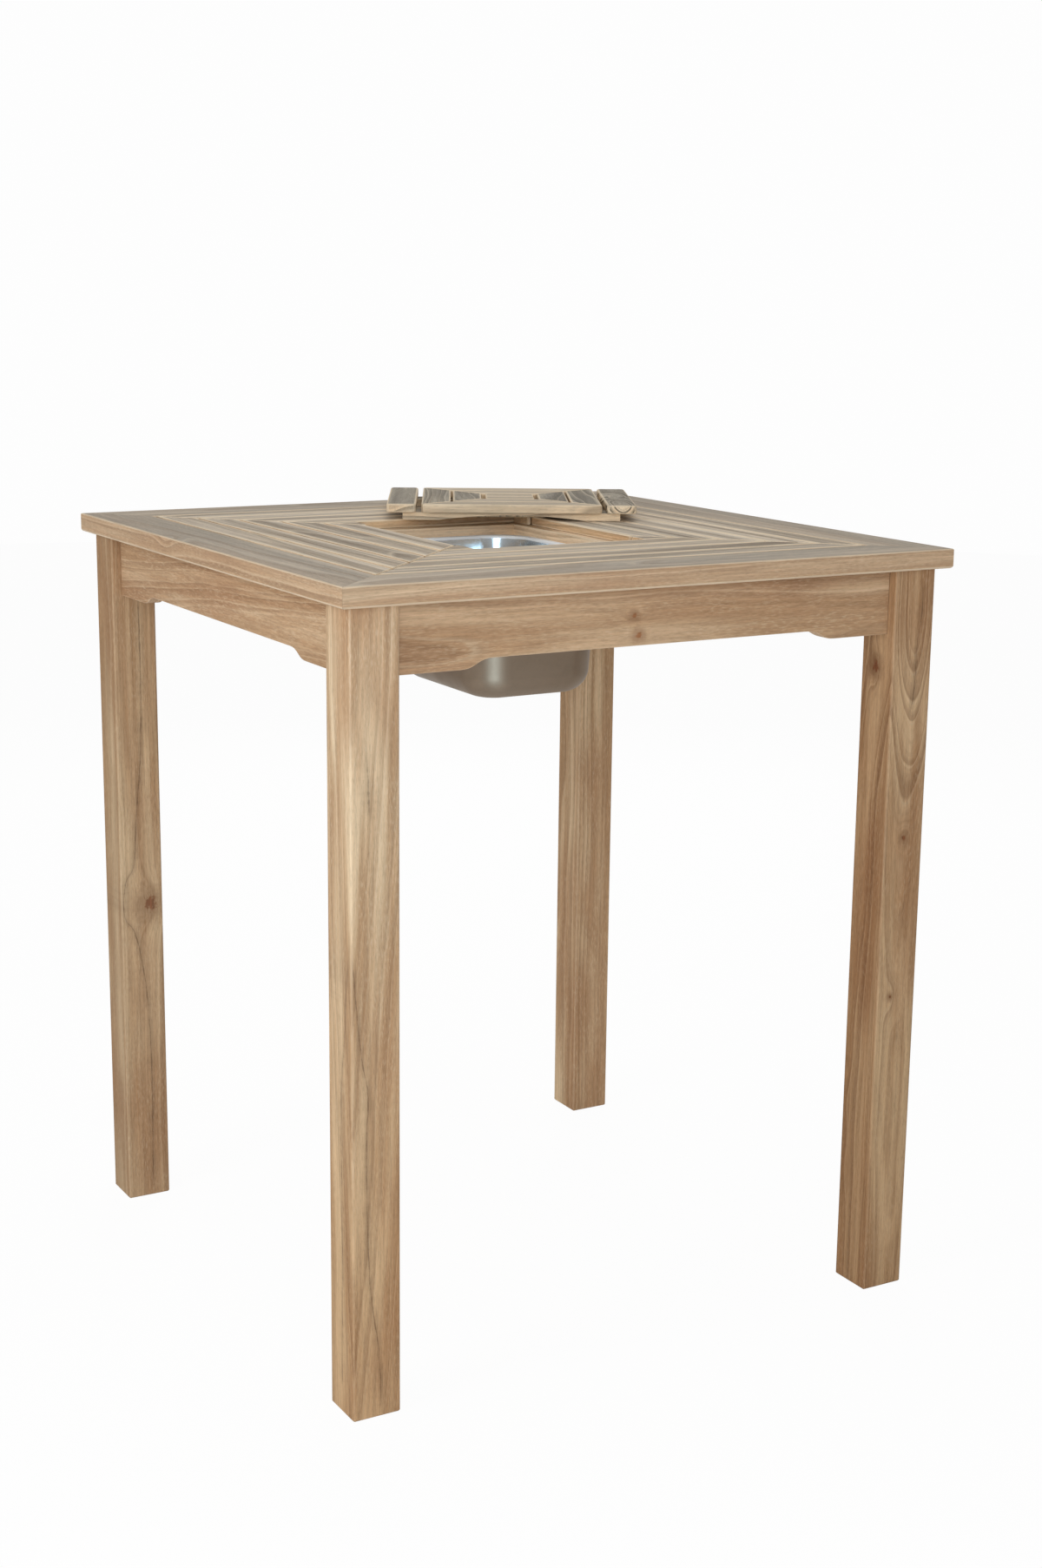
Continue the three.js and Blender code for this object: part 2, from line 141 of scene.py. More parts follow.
# %% The fitted camera
CAMERA_PLACE = Vector((-1.5315, -2.7494, 1.3855))
CAMERA_YAW = math.radians(60.16)  # from +X towards +Y
CAMERA_PITCH = math.radians(-12.63)
CAMERA_ROLL = math.radians(0.63)
SENSOR = 36.0
FOCAL_LENGTH = 52.08
QUARTER = math.pi / 2


def make_camera():
    """An unturned camera looks straight down. It is rolled, lifted to its pitch and turned to its yaw."""
    lens = bpy.data.cameras.new("camera")
    lens.sensor_fit = "VERTICAL"
    lens.sensor_height = SENSOR
    lens.lens = FOCAL_LENGTH
    made = link_object("camera", lens)
    turns = ((CAMERA_YAW - QUARTER, "Z"), (QUARTER + CAMERA_PITCH, "X"), (CAMERA_ROLL, "Z"))
    place = Matrix.Translation(CAMERA_PLACE)
    for angle, axis in turns:
        place = place @ Matrix.Rotation(angle, 4, axis)
    made.matrix_world = place
    bpy.context.scene.camera = made
    return made


camera = make_camera()
print("camera at", [round(value, 3) for value in camera.location])

# %% [markdown]
# ## Building materials out of nodes
#
# A material is a small graph. The helpers below place one node each and return the socket that the
# next node needs, so that a graph reads like a formula. A value can be a number or a socket, and a
# socket knows the tree that it is in. Colours are written as they look on the screen, from 0 to
# 255, and turned into light.


# %% Colours, sockets and nodes
def srgb(red, green, blue):
    """A colour as it looks on the screen, turned into light."""
    def light(value):
        share = value / 255
        return share / 12.92 if share <= 0.04045 else ((share + 0.055) / 1.055) ** 2.4
    return (light(red), light(green), light(blue), 1.0)


def plug(socket, value):
    """Joins a socket to another one, or sets it to a value."""
    if isinstance(value, bpy.types.NodeSocket):
        socket.id_data.links.new(value, socket)
    else:
        socket.default_value = value


def add_node(kind, values=(), tree=None, **properties):
    """Adds a node to the tree, or to the one its values come from, and fills its sockets."""
    pairs = list(values.items() if isinstance(values, dict) else enumerate(values))
    tree = tree or next(value.id_data for _, value in pairs if isinstance(value, bpy.types.NodeSocket))
    node = tree.nodes.new("ShaderNode" + kind)
    for name, setting in properties.items():
        setattr(node, name, setting)
    for key, value in pairs:
        plug(node.inputs[key], value)
    return node


def start_tree(owner, output="OutputMaterial"):
    """Empties the tree of a material or world. Returns it and the socket that takes the shader."""
    owner.use_nodes = True
    tree = owner.node_tree
    tree.nodes.clear()
    return tree, add_node(output, tree=tree).inputs["Surface"]


def dress(piece, *paints):
    """Gives a piece these materials and no others."""
    piece.data.materials.clear()
    for paint in paints:
        piece.data.materials.append(paint)


print("the middle grey of a screen is", round(srgb(128, 128, 128)[0], 3), "as light")


# %% Arithmetic and fades
def arithmetic(operation, clamp=False):
    """The helper that places a math node of one kind."""
    return lambda *values: add_node("Math", values, operation=operation, use_clamp=clamp).outputs[0]


plus, minus, times, over = map(arithmetic, ("ADD", "SUBTRACT", "MULTIPLY", "DIVIDE"))
highest, absolute, exponent, fraction = map(arithmetic, ("MAXIMUM", "ABSOLUTE", "EXPONENT", "FRACT"))
share_of = arithmetic("DIVIDE", clamp=True)  # a quotient that stays between 0 and 1
scaled = arithmetic("MULTIPLY_ADD")  # a value times a factor, plus a start


def combine(operation, *values):
    """Vector arithmetic. A length comes out as a number."""
    node = add_node("VectorMath", values, operation=operation)
    return node.outputs["Value" if operation == "LENGTH" else "Vector"]


def fade(value, low, high, start=0.0, end=1.0):
    """Goes smoothly from start to end while the value goes from low to high."""
    sockets = {"Value": value, "From Min": low, "From Max": high, "To Min": start, "To Max": end}
    return add_node("MapRange", sockets, interpolation_type="SMOOTHSTEP").outputs["Result"]


print("arithmetic ready")


# %% Colours, vectors and noise
def mix(share, first, second, mode="MIX"):
    values = {0: share, 6: first, 7: second}
    return add_node("Mix", values, data_type="RGBA", blend_type=mode).outputs[2]


def split(vector):
    return add_node("SeparateXYZ", (vector,)).outputs


def join(x, y, z):
    return add_node("CombineXYZ", (x, y, z)).outputs[0]


def turn(vector, axis, angle):
    return add_node("VectorRotate", {"Vector": vector, "Angle": angle}, rotation_type=axis).outputs[0]


def noise(place, size, detail=2.0, roughness=0.5):
    """Noise from 0 to 1 whose blobs are as large as the vector size says, in metres."""
    shrunk = combine("DIVIDE", place, size)
    sockets = {"Vector": shrunk, "Scale": 1.0, "Detail": detail, "Roughness": roughness}
    return add_node("TexNoise", sockets).outputs["Fac"]


def long_noise(place, across, along, **looks):
    """Noise whose blobs are this wide in X and Y and this long in Z, in metres."""
    return noise(place, (across, across, along), **looks)


def line_noise(value, length, row=0.0, **looks):
    """Noise along one value. Each row of it is another noise."""
    return noise(join(value, row, 0.0), (length, 1, 1), **looks)


def swing(value):
    """A noise that swings about 0 and not about a half."""
    return minus(value, 0.5)


print("noise ready")

# %% [markdown]
# ## Node groups
#
# Rings, fibres, knots and wear are wanted on every board. So each is made once, as a group with
# named sockets, and placed in each material with that board's own values.

# %% Starting, ending and placing a group
VECTORS = "Place Centre Grain Pith Reach Normal Turned"
COLOURS = "Colour Pale Tan Red Dark Grey Silver Dusty Worn Knot"
KINDS = dict.fromkeys(VECTORS.split(), "Vector") | dict.fromkeys(COLOURS.split(), "Color")


def start_group(name, takes, gives):
    """A new group that takes and gives the named sockets. Returns the two ends inside it."""
    tree = bpy.data.node_groups.new(name, "ShaderNodeTree")
    for way, sockets in (("INPUT", takes), ("OUTPUT", gives)):
        for socket in sockets.split():
            kind = "NodeSocket" + KINDS.get(socket, "Float")
            tree.interface.new_socket(socket, in_out=way, socket_type=kind)
    return tree.nodes.new("NodeGroupInput").outputs, tree.nodes.new("NodeGroupOutput").inputs


def end_group(out, **results):
    """Sends the results out of the group and returns its tree."""
    for name, value in results.items():
        plug(out[name], value)
    return out[0].id_data


def place_group(group, **settings):
    """Places a group in a material. Returns what it gives."""
    return add_node("Group", settings, node_tree=group).outputs


print(len(KINDS), "names of sockets that aren't plain numbers")

# %% [markdown]
# ## Floor and light
#
# The photograph shows the table cut out on white. The floor is a pale disc that looks almost white
# to the camera and keeps a faint shadow under the feet, and the world is white to the camera and a
# light grey in reflections. The light on the wood is even and soft, and four soft boxes give the
# legs their two tones. The steel would mirror them as a patchwork, so it doesn't see them. It sees
# one tall, cool strip beside the camera instead, which lights nothing else: that is the soft
# upright streak on the bucket and the flare inside it.

# %% The floor
FLOOR_RADIUS = 9.0
FLOOR_PALE = (0.94, 0.94, 0.94, 1)
FLOOR_WHITE = 0.96  # how much of the floor's own shading the camera doesn't see
FLOOR_IN_STEEL = 0.3  # and how much of it the steel doesn't see


def make_floor():
    bpy.ops.mesh.primitive_circle_add(vertices=96, radius=FLOOR_RADIUS, fill_type="NGON")
    floor = start_piece("floor")
    paint = bpy.data.materials.new("floor_white")
    tree, surface = start_tree(paint)
    own = add_node("BsdfDiffuse", {"Color": FLOOR_PALE}, tree).outputs[0]
    white = add_node("Emission", tree=tree).outputs[0]
    path = add_node("LightPath", tree=tree).outputs
    to_camera = times(path["Is Camera Ray"], FLOOR_WHITE)
    share = scaled(path["Is Glossy Ray"], FLOOR_IN_STEEL, to_camera)
    plug(surface, add_node("MixShader", (share, own, white)).outputs[0])
    dress(floor, paint)
    return floor


print("floor", [round(value, 1) for value in make_floor().dimensions])

# %% The world
WORLD_WHITE = (0.985, 0.985, 0.985, 1)
WORLD_LEVEL = 0.4  # how brightly it lights the table, where 1 is white
WORLD_IN_STEEL = 0.58  # and how bright it is in a reflection


def make_world():
    world = bpy.data.worlds.new("studio")
    bpy.context.scene.world = world
    tree, surface = start_tree(world, "OutputWorld")
    path = add_node("LightPath", tree=tree).outputs
    in_steel = scaled(path["Is Glossy Ray"], WORLD_IN_STEEL - WORLD_LEVEL, WORLD_LEVEL)
    level = highest(path["Is Camera Ray"], in_steel)
    background = add_node("Background", {"Color": WORLD_WHITE, "Strength": level})
    plug(surface, background.outputs[0])
    return world


print("world", make_world().name)

# %% The lamps
# Each lamp: its place, its width and height, and its brightness, where 1 is white
SOFT_BOXES = {
    "box_front": ((-1.45, -3.1, 1.5), (1.6, 2.2), 3.1),
    "box_left": ((-2.8, -0.7, 1.7), (1.0, 1.6), 5.6),
    "box_back": ((1.7, 2.9, 1.9), (2.0, 1.6), 2.6),
    "box_top": ((0.2, 0.2, 3.4), (1.2, 1.2), 2.2),
}
STRIP = ((-1.42, -3.1, 1.2), (0.95, 2.4), 17.0)
STRIP_COLOUR = (0.55, 0.8, 1.0)
AIM = Vector((0, 0, 0.75))


def make_lamp(name, place, size, level):
    """An area light that looks at the table. Its power follows from its brightness and its size."""
    lamp = bpy.data.lights.new(name, "AREA")
    lamp.shape = "RECTANGLE"
    lamp.size, lamp.size_y = size
    lamp.energy = level * math.pi * size[0] * size[1]
    made = link_object(name, lamp)
    made.location = place
    made.rotation_euler = (AIM - Vector(place)).to_track_quat("-Z", "Y").to_euler()
    made.visible_camera = False
    return made


for box_name, box in SOFT_BOXES.items():
    make_lamp(box_name, *box).visible_glossy = False
strip = make_lamp("strip", *STRIP)
strip.visible_diffuse = False
strip.data.color = STRIP_COLOUR
bpy.context.scene.view_settings.view_transform = "Standard"
print(len(SOFT_BOXES), "soft boxes and a strip of", round(strip.data.energy), "W")

# %% [markdown]
# ## Grain space
#
# Wood is the same everywhere but for the way its grain runs, so every pattern below is drawn in
# grain space, where the grain runs along Z. This group turns a point of the table into grain
# space: Turn is the way the board points in plan, and Lay is 90 degrees for a board that lies flat
# and 0 for a leg.


# %% The grain space group
def make_grain_space():
    given, out = start_group("grain_space", "Place Centre Turn Lay", "Grain")
    moved = combine("SUBTRACT", given["Place"], given["Centre"])
    along = turn(moved, "Z_AXIS", times(given["Turn"], -1.0))
    stood = turn(along, "Y_AXIS", times(given["Lay"], -1.0))
    return end_group(out, Grain=stood)


GRAIN_SPACE = make_grain_space()
print("group", GRAIN_SPACE.name)

# %% [markdown]
# ## Growth rings
#
# A board is cut out of a log, and its rings are cylinders round the pith. Where the pith lies
# beside the board and leans a little against it, the cut shows the arches that joiners call
# cathedrals. So the group measures how far each point is from the pith line and lets noise make
# that distance wander. Saw teeth of that distance are the rings, slowly darker and then suddenly
# pale again, where a thin line of open early wood catches the dust. Some rings are dark and some
# hardly show. Finer lines run between them, and bands of paler and browner wood follow them too.

# %% The growth rings group
RING_WANDER = 0.009  # how far the rings stray, in metres
RING_SHIVER = 0.0007  # and how far they stray within a few centimetres
RING_UNEVEN = 0.9  # how uneven their widths are, as a share of a ring
LATE_FROM, LATE_TO = 0.15, 0.88  # where in a ring the wood begins to darken and is darkest
EARLY_FROM, EARLY_TO = 0.05, 0.2  # where in a ring the pale line is palest and ends
BAND_WIDTH = 0.017  # how wide a band of one tone is, in metres
BAND_LENGTH = 1.1


def make_growth_rings():
    given, out = start_group("growth_rings", "Grain Pith Width Bulge", "Late Early Lines Band")
    grain = given["Grain"]
    aside = combine("MULTIPLY", combine("SUBTRACT", grain, given["Pith"]), (1, 1, 0))
    stray = swing(long_noise(grain, across=0.08, along=0.3))
    fine = swing(long_noise(grain, across=0.018, along=0.22))
    wander = scaled(stray, 2 * RING_WANDER, times(fine, 2 * RING_SHIVER))
    distance = plus(plus(combine("LENGTH", aside), wander), given["Bulge"])
    count = over(distance, given["Width"])
    uneven = line_noise(count, 2.3, detail=1.0)
    phase = scaled(uneven, 2 * RING_UNEVEN, count)
    tooth = fraction(phase)
    late = times(fade(tooth, LATE_FROM, LATE_TO), fade(tooth, LATE_TO, 1.0, 1.0, 0.0))
    early = times(fade(tooth, 0.0, EARLY_FROM), fade(tooth, EARLY_FROM, EARLY_TO, 1.0, 0.0))
    tone = fade(line_noise(phase, 1.7, row=7.3, detail=0.0), 0.35, 0.65, 0.1, 1.0)
    lines = line_noise(phase, 0.24, row=3.1, roughness=0.7)
    unrolled = join(distance, 0.0, split(grain)["Z"])
    return end_group(
        out, Late=times(late, tone), Early=times(early, tone), Lines=lines,
        Band=noise(unrolled, (BAND_WIDTH, 1, BAND_LENGTH), detail=3.0),
    )


GROWTH_RINGS = make_growth_rings()
print("group", GROWTH_RINGS.name)

# %% [markdown]
# ## Fibres and pores
#
# Seen close, teak is all short lines along the grain: fine fibres, open pores that hold pale dust,
# and broad streaks of pinker or greyer wood. Each is noise that is stretched along Z, at its own
# scale. One fine noise of specks is both the pores, where it is low, and the dust, where it is high.

# %% The fibres group
DUST_SPECKS = (0.53, 0.66)  # a speck is dust from here on
PORE_SPECKS = (0.46, 0.34)  # and a pore from here down


def make_fibres():
    given, out = start_group("fibres", "Grain Seed", "Fibre Pores Dust Streak Cloud")
    seed = given["Seed"]
    place = combine("ADD", given["Grain"], join(seed, seed, seed))
    speck = long_noise(place, across=0.0014, along=0.009, detail=1.0)
    patch = long_noise(place, across=0.02, along=0.08)
    return end_group(
        out,
        Fibre=long_noise(place, across=0.0024, along=0.06, detail=3.0, roughness=0.6),
        Pores=fade(speck, *PORE_SPECKS),
        Dust=times(fade(speck, *DUST_SPECKS), fade(patch, 0.35, 0.62, 0.25, 1.0)),
        Streak=long_noise(place, across=0.022, along=0.6, detail=4.0, roughness=0.6),
        Cloud=long_noise(place, across=0.1, along=0.4),
    )


FIBRES = make_fibres()
print("group", FIBRES.name)

# %% [markdown]
# ## Knots and dark veins
#
# A knot is where a branch left the trunk: the rings bulge round it, and its middle is a small dark
# red disc with fine checks. A vein is a growth line that has gone very dark or has opened into a
# crack. Noise can't put one where the real board has it, so its way is drawn as a curve: how far
# aside it lies at each height along the board.

# %% Drawing a way
WAY_REACH = 0.1  # the curve's top and bottom stand for this far aside, in metres


def draw_way(along, points):
    """How far aside a way lies, drawn through points of a height along and a distance aside."""
    low, high = points[0][0], points[-1][0]
    node = add_node("FloatCurve", tree=along.id_data)
    curve = node.mapping.curves[0]
    for index, (height, aside) in enumerate(points):
        place = ((height - low) / (high - low), aside / (2 * WAY_REACH) + 0.5)
        if index < 2:  # a new curve has two points already
            curve.points[index].location = place
        else:
            curve.points.new(*place)
    node.mapping.update()
    plug(node.inputs["Value"], share_of(minus(along, low), high - low))
    return times(swing(node.outputs["Value"]), 2 * WAY_REACH)


print("a way reaches", round(WAY_REACH / MM), "mm to either side")

# %% The knot group
KNOT_RAGGED = 2.4  # how far a knot's outline strays, as a share of its core
KNOT_LONG = 0.8  # a knot is cut a little aslant, so it is longer along the grain
HEART_RIM = (0.5, 1.2)  # where the heart fades out, in cores from its middle
HALO_RIM = (0.8, 4.0)


def make_knot():
    given, out = start_group("knot", "Grain Centre Reach Height Core", "Bulge Heart Halo")
    apart = combine("SUBTRACT", given["Grain"], given["Centre"])
    share = combine("LENGTH", combine("DIVIDE", apart, given["Reach"]))
    hill = exponent(times(times(share, share), -1.0))
    ragged = swing(long_noise(apart, across=0.004, along=0.006, detail=4.0))
    away = combine("LENGTH", combine("MULTIPLY", apart, (1, 1, KNOT_LONG)))
    away = over(away, given["Core"])
    near = scaled(ragged, KNOT_RAGGED, away)
    return end_group(
        out, Bulge=times(hill, given["Height"]),
        Heart=fade(near, *HEART_RIM, 1.0, 0.0), Halo=fade(near, *HALO_RIM, 1.0, 0.0),
    )


KNOT = make_knot()
print("group", KNOT.name)

# %% The vein group
VEIN_STRAY = 1.3 * MM
VEIN_CORE = (0.1, 1.1)  # where the dark line fades out, in vein widths from its middle
VEIN_STAIN = (0.5, 6.0)  # and where the faint stain beside it does
VEIN_STARTS = 0.02  # over this length a vein comes in, in metres
VEIN_ENDS = 0.06


def make_vein():
    given, out = start_group("vein", "Aside Along Width From To", "Vein")
    along = given["Along"]
    patchy = line_noise(along, 0.04, detail=4.0, roughness=0.7)
    ragged = swing(line_noise(along, 0.014, row=5.0, detail=3.0))
    width = times(given["Width"], fade(patchy, 0.35, 0.65, 0.5, 1.7))
    aside = scaled(ragged, 2 * VEIN_STRAY, given["Aside"])
    away = over(absolute(aside), width)
    core = times(fade(away, *VEIN_CORE, 1.0, 0.0), fade(patchy, 0.3, 0.6, 0.35, 1.0))
    line = highest(core, fade(away, *VEIN_STAIN, 0.3, 0.0))
    start = fade(minus(along, given["From"]), 0.0, VEIN_STARTS)
    end = fade(minus(given["To"], along), 0.0, VEIN_ENDS)
    return end_group(out, Vein=times(line, times(start, end)))


VEIN = make_vein()
print("group", VEIN.name)

# %% [markdown]
# ## Pale edges, partly worn and partly a painted highlight, and grey tops
#
# Sun and rain turn teak grey where it faces the sky, and hands wear its edges back to pale wood.
# On the rounded edges that pale is also a painted highlight, where the eased edges catch the light.
# Both can be told from the way a face looks. On a rounded edge the normal points between the
# axes of the board, so the mask is what is missing from the largest of its three parts. On a face
# that looks up, the wear runs a little way inwards too, which takes the board's half width.

# %% The exposure group
WORN_MARGIN = 4 * MM  # from the board's edge to where its face is no longer worn
WORN_SLAT = 8.5 * MM  # the same for the slats of the top, which are worn most
WORN_RIM = 0.25  # the share of the margin that is fully worn
ROUNDED = (0.99, 0.93)  # the normal's largest part where a rounded edge begins to show wear and painted highlight, and shows them fully
SKYWARD = (0.9, 0.99)  # the normal's Z where a face begins to turn grey and is grey


def make_exposure():
    given, out = start_group("exposure", "Normal Turned Across Half Margin", "Edge Sky")
    x, y, z = split(combine("ABSOLUTE", given["Turned"]))
    largest = highest(highest(x, y), z)
    inside = minus(given["Half"], absolute(given["Across"]))
    margin = fade(inside, given["Margin"], times(given["Margin"], WORN_RIM))
    sky = fade(split(given["Normal"])["Z"], *SKYWARD)
    # On rounded edges the mask is wear plus a painted highlight; on the margin of an upward face it is
    # wear only.
    edge = highest(fade(largest, *ROUNDED), times(margin, sky))
    return end_group(out, Edge=edge, Sky=sky)


EXPOSURE = make_exposure()
print("group", EXPOSURE.name)

# %% [markdown]
# ## The surface of the teak
#
# This group puts the masks together. The wood goes from pale to tan along its streaks, reddens in
# clouds and darkens towards the edge of each ring. Faces that look at the sky turn grey and keep
# their rings. Then come fine lines, pale dust, veins and knots, and last the worn edges, whose pale
# on the rounded edges is also a painted highlight. Its height makes fibres, pores and veins stand
# out in raking light.

# %% Rings, dust, veins and knots
EARLY_SHARE = 0.6  # how strongly the pale line at a ring's start shows
HALO_SHARE = 0.55
VEIN_SHARE = 0.6
HEART_SHARE = 0.85
VEIN_BROWN = srgb(84, 60, 42)


def ring_wood(given, wood, ring, early, pale):
    """Puts the dark rings and their pale lines on the wood."""
    wood = mix(ring, wood, given["Dark"])
    return mix(times(early, EARLY_SHARE), wood, given[pale])


def mark_wood(given, wood):
    """Puts the dust, the veins and the knots on the wood."""
    wood = mix(times(given["Dust"], given["Dusting"]), wood, given["Dusty"])
    wood = mix(times(given["Halo"], HALO_SHARE), wood, given["Dark"])
    wood = mix(times(given["Vein"], VEIN_SHARE), wood, VEIN_BROWN)
    checked = mix(0.5, given["Knot"], VEIN_BROWN)
    heart = mix(fade(given["Fibre"], 0.4, 0.6), given["Knot"], checked)
    return mix(times(given["Heart"], HEART_SHARE), wood, heart)


print("a vein as light", [round(value, 3) for value in VEIN_BROWN[:3]])

# %% The teak surface group
MASKS = "Late Early Lines Band Fibre Pores Dust Streak Cloud Vein Heart Halo Edge Sky"
SHARES = "Rings Dusting Weathering Wear"
SURFACE_COLOURS = "Pale Tan Red Dark Grey Silver Dusty Worn Knot"
# Between which values a mask changes the brightness, and from what to what
SHADES = {
    "Lines": (0.3, 0.7, 0.94, 1.05), "Fibre": (0.3, 0.7, 0.9, 1.09), "Pores": (0.0, 1.0, 1.0, 0.9),
}
RELIEF = {"Late": 0.35, "Pores": -0.6, "Vein": -2.5}  # how high each stands, where a fibre is 1
# Between which values the tone goes from tan to pale and from grey to silver
PALE_TONE = (0.41, 0.59)
SILVER_TONE = (0.4, 0.6)
RED_CLOUD = (0.42, 0.7, 0.0, 0.85)
GREY_CLOUD = (0.2, 0.6, 0.8, 1.0)
EDGE_FIBRE = (0.3, 0.6, 0.6, 1.0)
GREY_RING_SHARE = 0.8  # how much of its dark rings grey wood keeps
TEAK_ROUGH = 0.6
FIBRE_ROUGH = 0.16  # how much rougher a fibre is than what lies between them


def make_teak_surface():
    takes = f"{MASKS} {SHARES} {SURFACE_COLOURS}"
    given, out = start_group("teak_surface", takes, "Colour Roughness Height")
    tone = times(plus(given["Streak"], given["Band"]), 0.5)
    ring = times(given["Late"], given["Rings"])
    early = times(given["Early"], given["Rings"])
    patchy = times(given["Sky"], fade(given["Cloud"], *GREY_CLOUD))
    wood = mix(fade(tone, *PALE_TONE), given["Tan"], given["Pale"])
    wood = mix(fade(given["Cloud"], *RED_CLOUD), wood, given["Red"])
    wood = ring_wood(given, wood, ring, early, "Dusty")
    grey = mix(fade(tone, *SILVER_TONE), given["Grey"], given["Silver"])
    grey = ring_wood(given, grey, times(ring, GREY_RING_SHARE), early, "Worn")
    wood = mix(times(patchy, given["Weathering"]), wood, grey)
    for mask, (low, high, start, end) in SHADES.items():
        shade = fade(given[mask], low, high, start, end)
        wood = mix(1.0, wood, join(shade, shade, shade), mode="MULTIPLY")
    wood = mark_wood(given, wood)
    # Worn edges and the painted highlight on rounded edges both take the pale worn colour.
    wear_and_highlight = times(given["Edge"], fade(given["Fibre"], *EDGE_FIBRE))
    wood = mix(times(wear_and_highlight, given["Wear"]), wood, given["Worn"])
    height = given["Fibre"]
    for mask, lift in RELIEF.items():
        height = scaled(given[mask], lift, height)
    rough = scaled(given["Fibre"], FIBRE_ROUGH, TEAK_ROUGH)
    return end_group(out, Colour=wood, Roughness=rough, Height=height)


TEAK_SURFACE = make_teak_surface()
print("group", TEAK_SURFACE.name, "with", len(TEAK_SURFACE.interface.items_tree), "sockets")

# %% [markdown]
# ## The tones of the teak
#
# Legs and aprons are brown, the frame boards are greying, the slats are pale between grey faces,
# and the lid is the darkest on top. So the tones are named by where the wood is used. A tone that
# isn't given comes from the common ones.

# %% The tones
# The worn colour also paints the highlight on rounded edges, and the wear share sets how strongly it
# shows.
COMMON_TONES = {
    "Dusty": (226, 207, 178), "Worn": (230, 213, 186), "Knot": (146, 92, 60), "Grey": (165, 155, 140),
    "Silver": (165, 155, 140), "Weathering": 0.0,
}
TONES = {
    "leg_teak": {
        "Pale": (220, 193, 156), "Tan": (184, 150, 113), "Red": (174, 134, 97), "Dark": (132, 98, 68),
        "Rings": 0.34, "Dusting": 0.22, "Wear": 0.18,
    },
    "apron_teak": {
        "Pale": (208, 178, 144), "Tan": (182, 147, 112), "Red": (176, 137, 103), "Dark": (140, 104, 74),
        "Knot": (170, 112, 72), "Rings": 0.4, "Dusting": 0.25, "Wear": 0.25,
    },
    "frame_teak": {
        "Pale": (212, 185, 153), "Tan": (188, 156, 124), "Red": (184, 148, 116), "Dark": (136, 106, 80),
        "Grey": (171, 163, 150), "Silver": (200, 189, 173),
        "Rings": 0.4, "Dusting": 0.22, "Weathering": 0.92, "Wear": 0.7,
    },
    "slat_teak": {
        "Pale": (233, 204, 166), "Tan": (213, 180, 141), "Red": (203, 165, 126), "Dark": (112, 96, 78),
        "Grey": (162, 150, 134), "Silver": (222, 209, 191), "Worn": (240, 224, 198),
        "Rings": 0.55, "Dusting": 0.2, "Weathering": 0.95, "Wear": 0.85,
    },
    # Painted light: the walls inside the opening are far paler than other teak, so that they look lit
    # though the top and the lid shade them.
    "inner_teak": {
        "Pale": (250, 234, 208), "Tan": (240, 218, 188), "Red": (232, 204, 170), "Dark": (176, 142, 106),
        "Rings": 0.5, "Dusting": 0.2, "Wear": 0.5,
    },
    "lid_teak": {
        "Pale": (250, 234, 206), "Tan": (242, 218, 184), "Red": (230, 202, 166), "Dark": (94, 86, 74),
        "Grey": (131, 125, 114), "Silver": (168, 160, 146),
        "Rings": 0.6, "Dusting": 0.15, "Weathering": 0.97, "Wear": 0.85,
    },
}
LONG_LID_BOARDS = ("lid_slat_front_", "lid_slat_back_", "lid_centre_")
LONG_LID_TONES = {"Grey": (182, 168, 149), "Silver": (212, 197, 175), "Dark": (156, 137, 114)}
print(len(TONES), "kinds of teak")
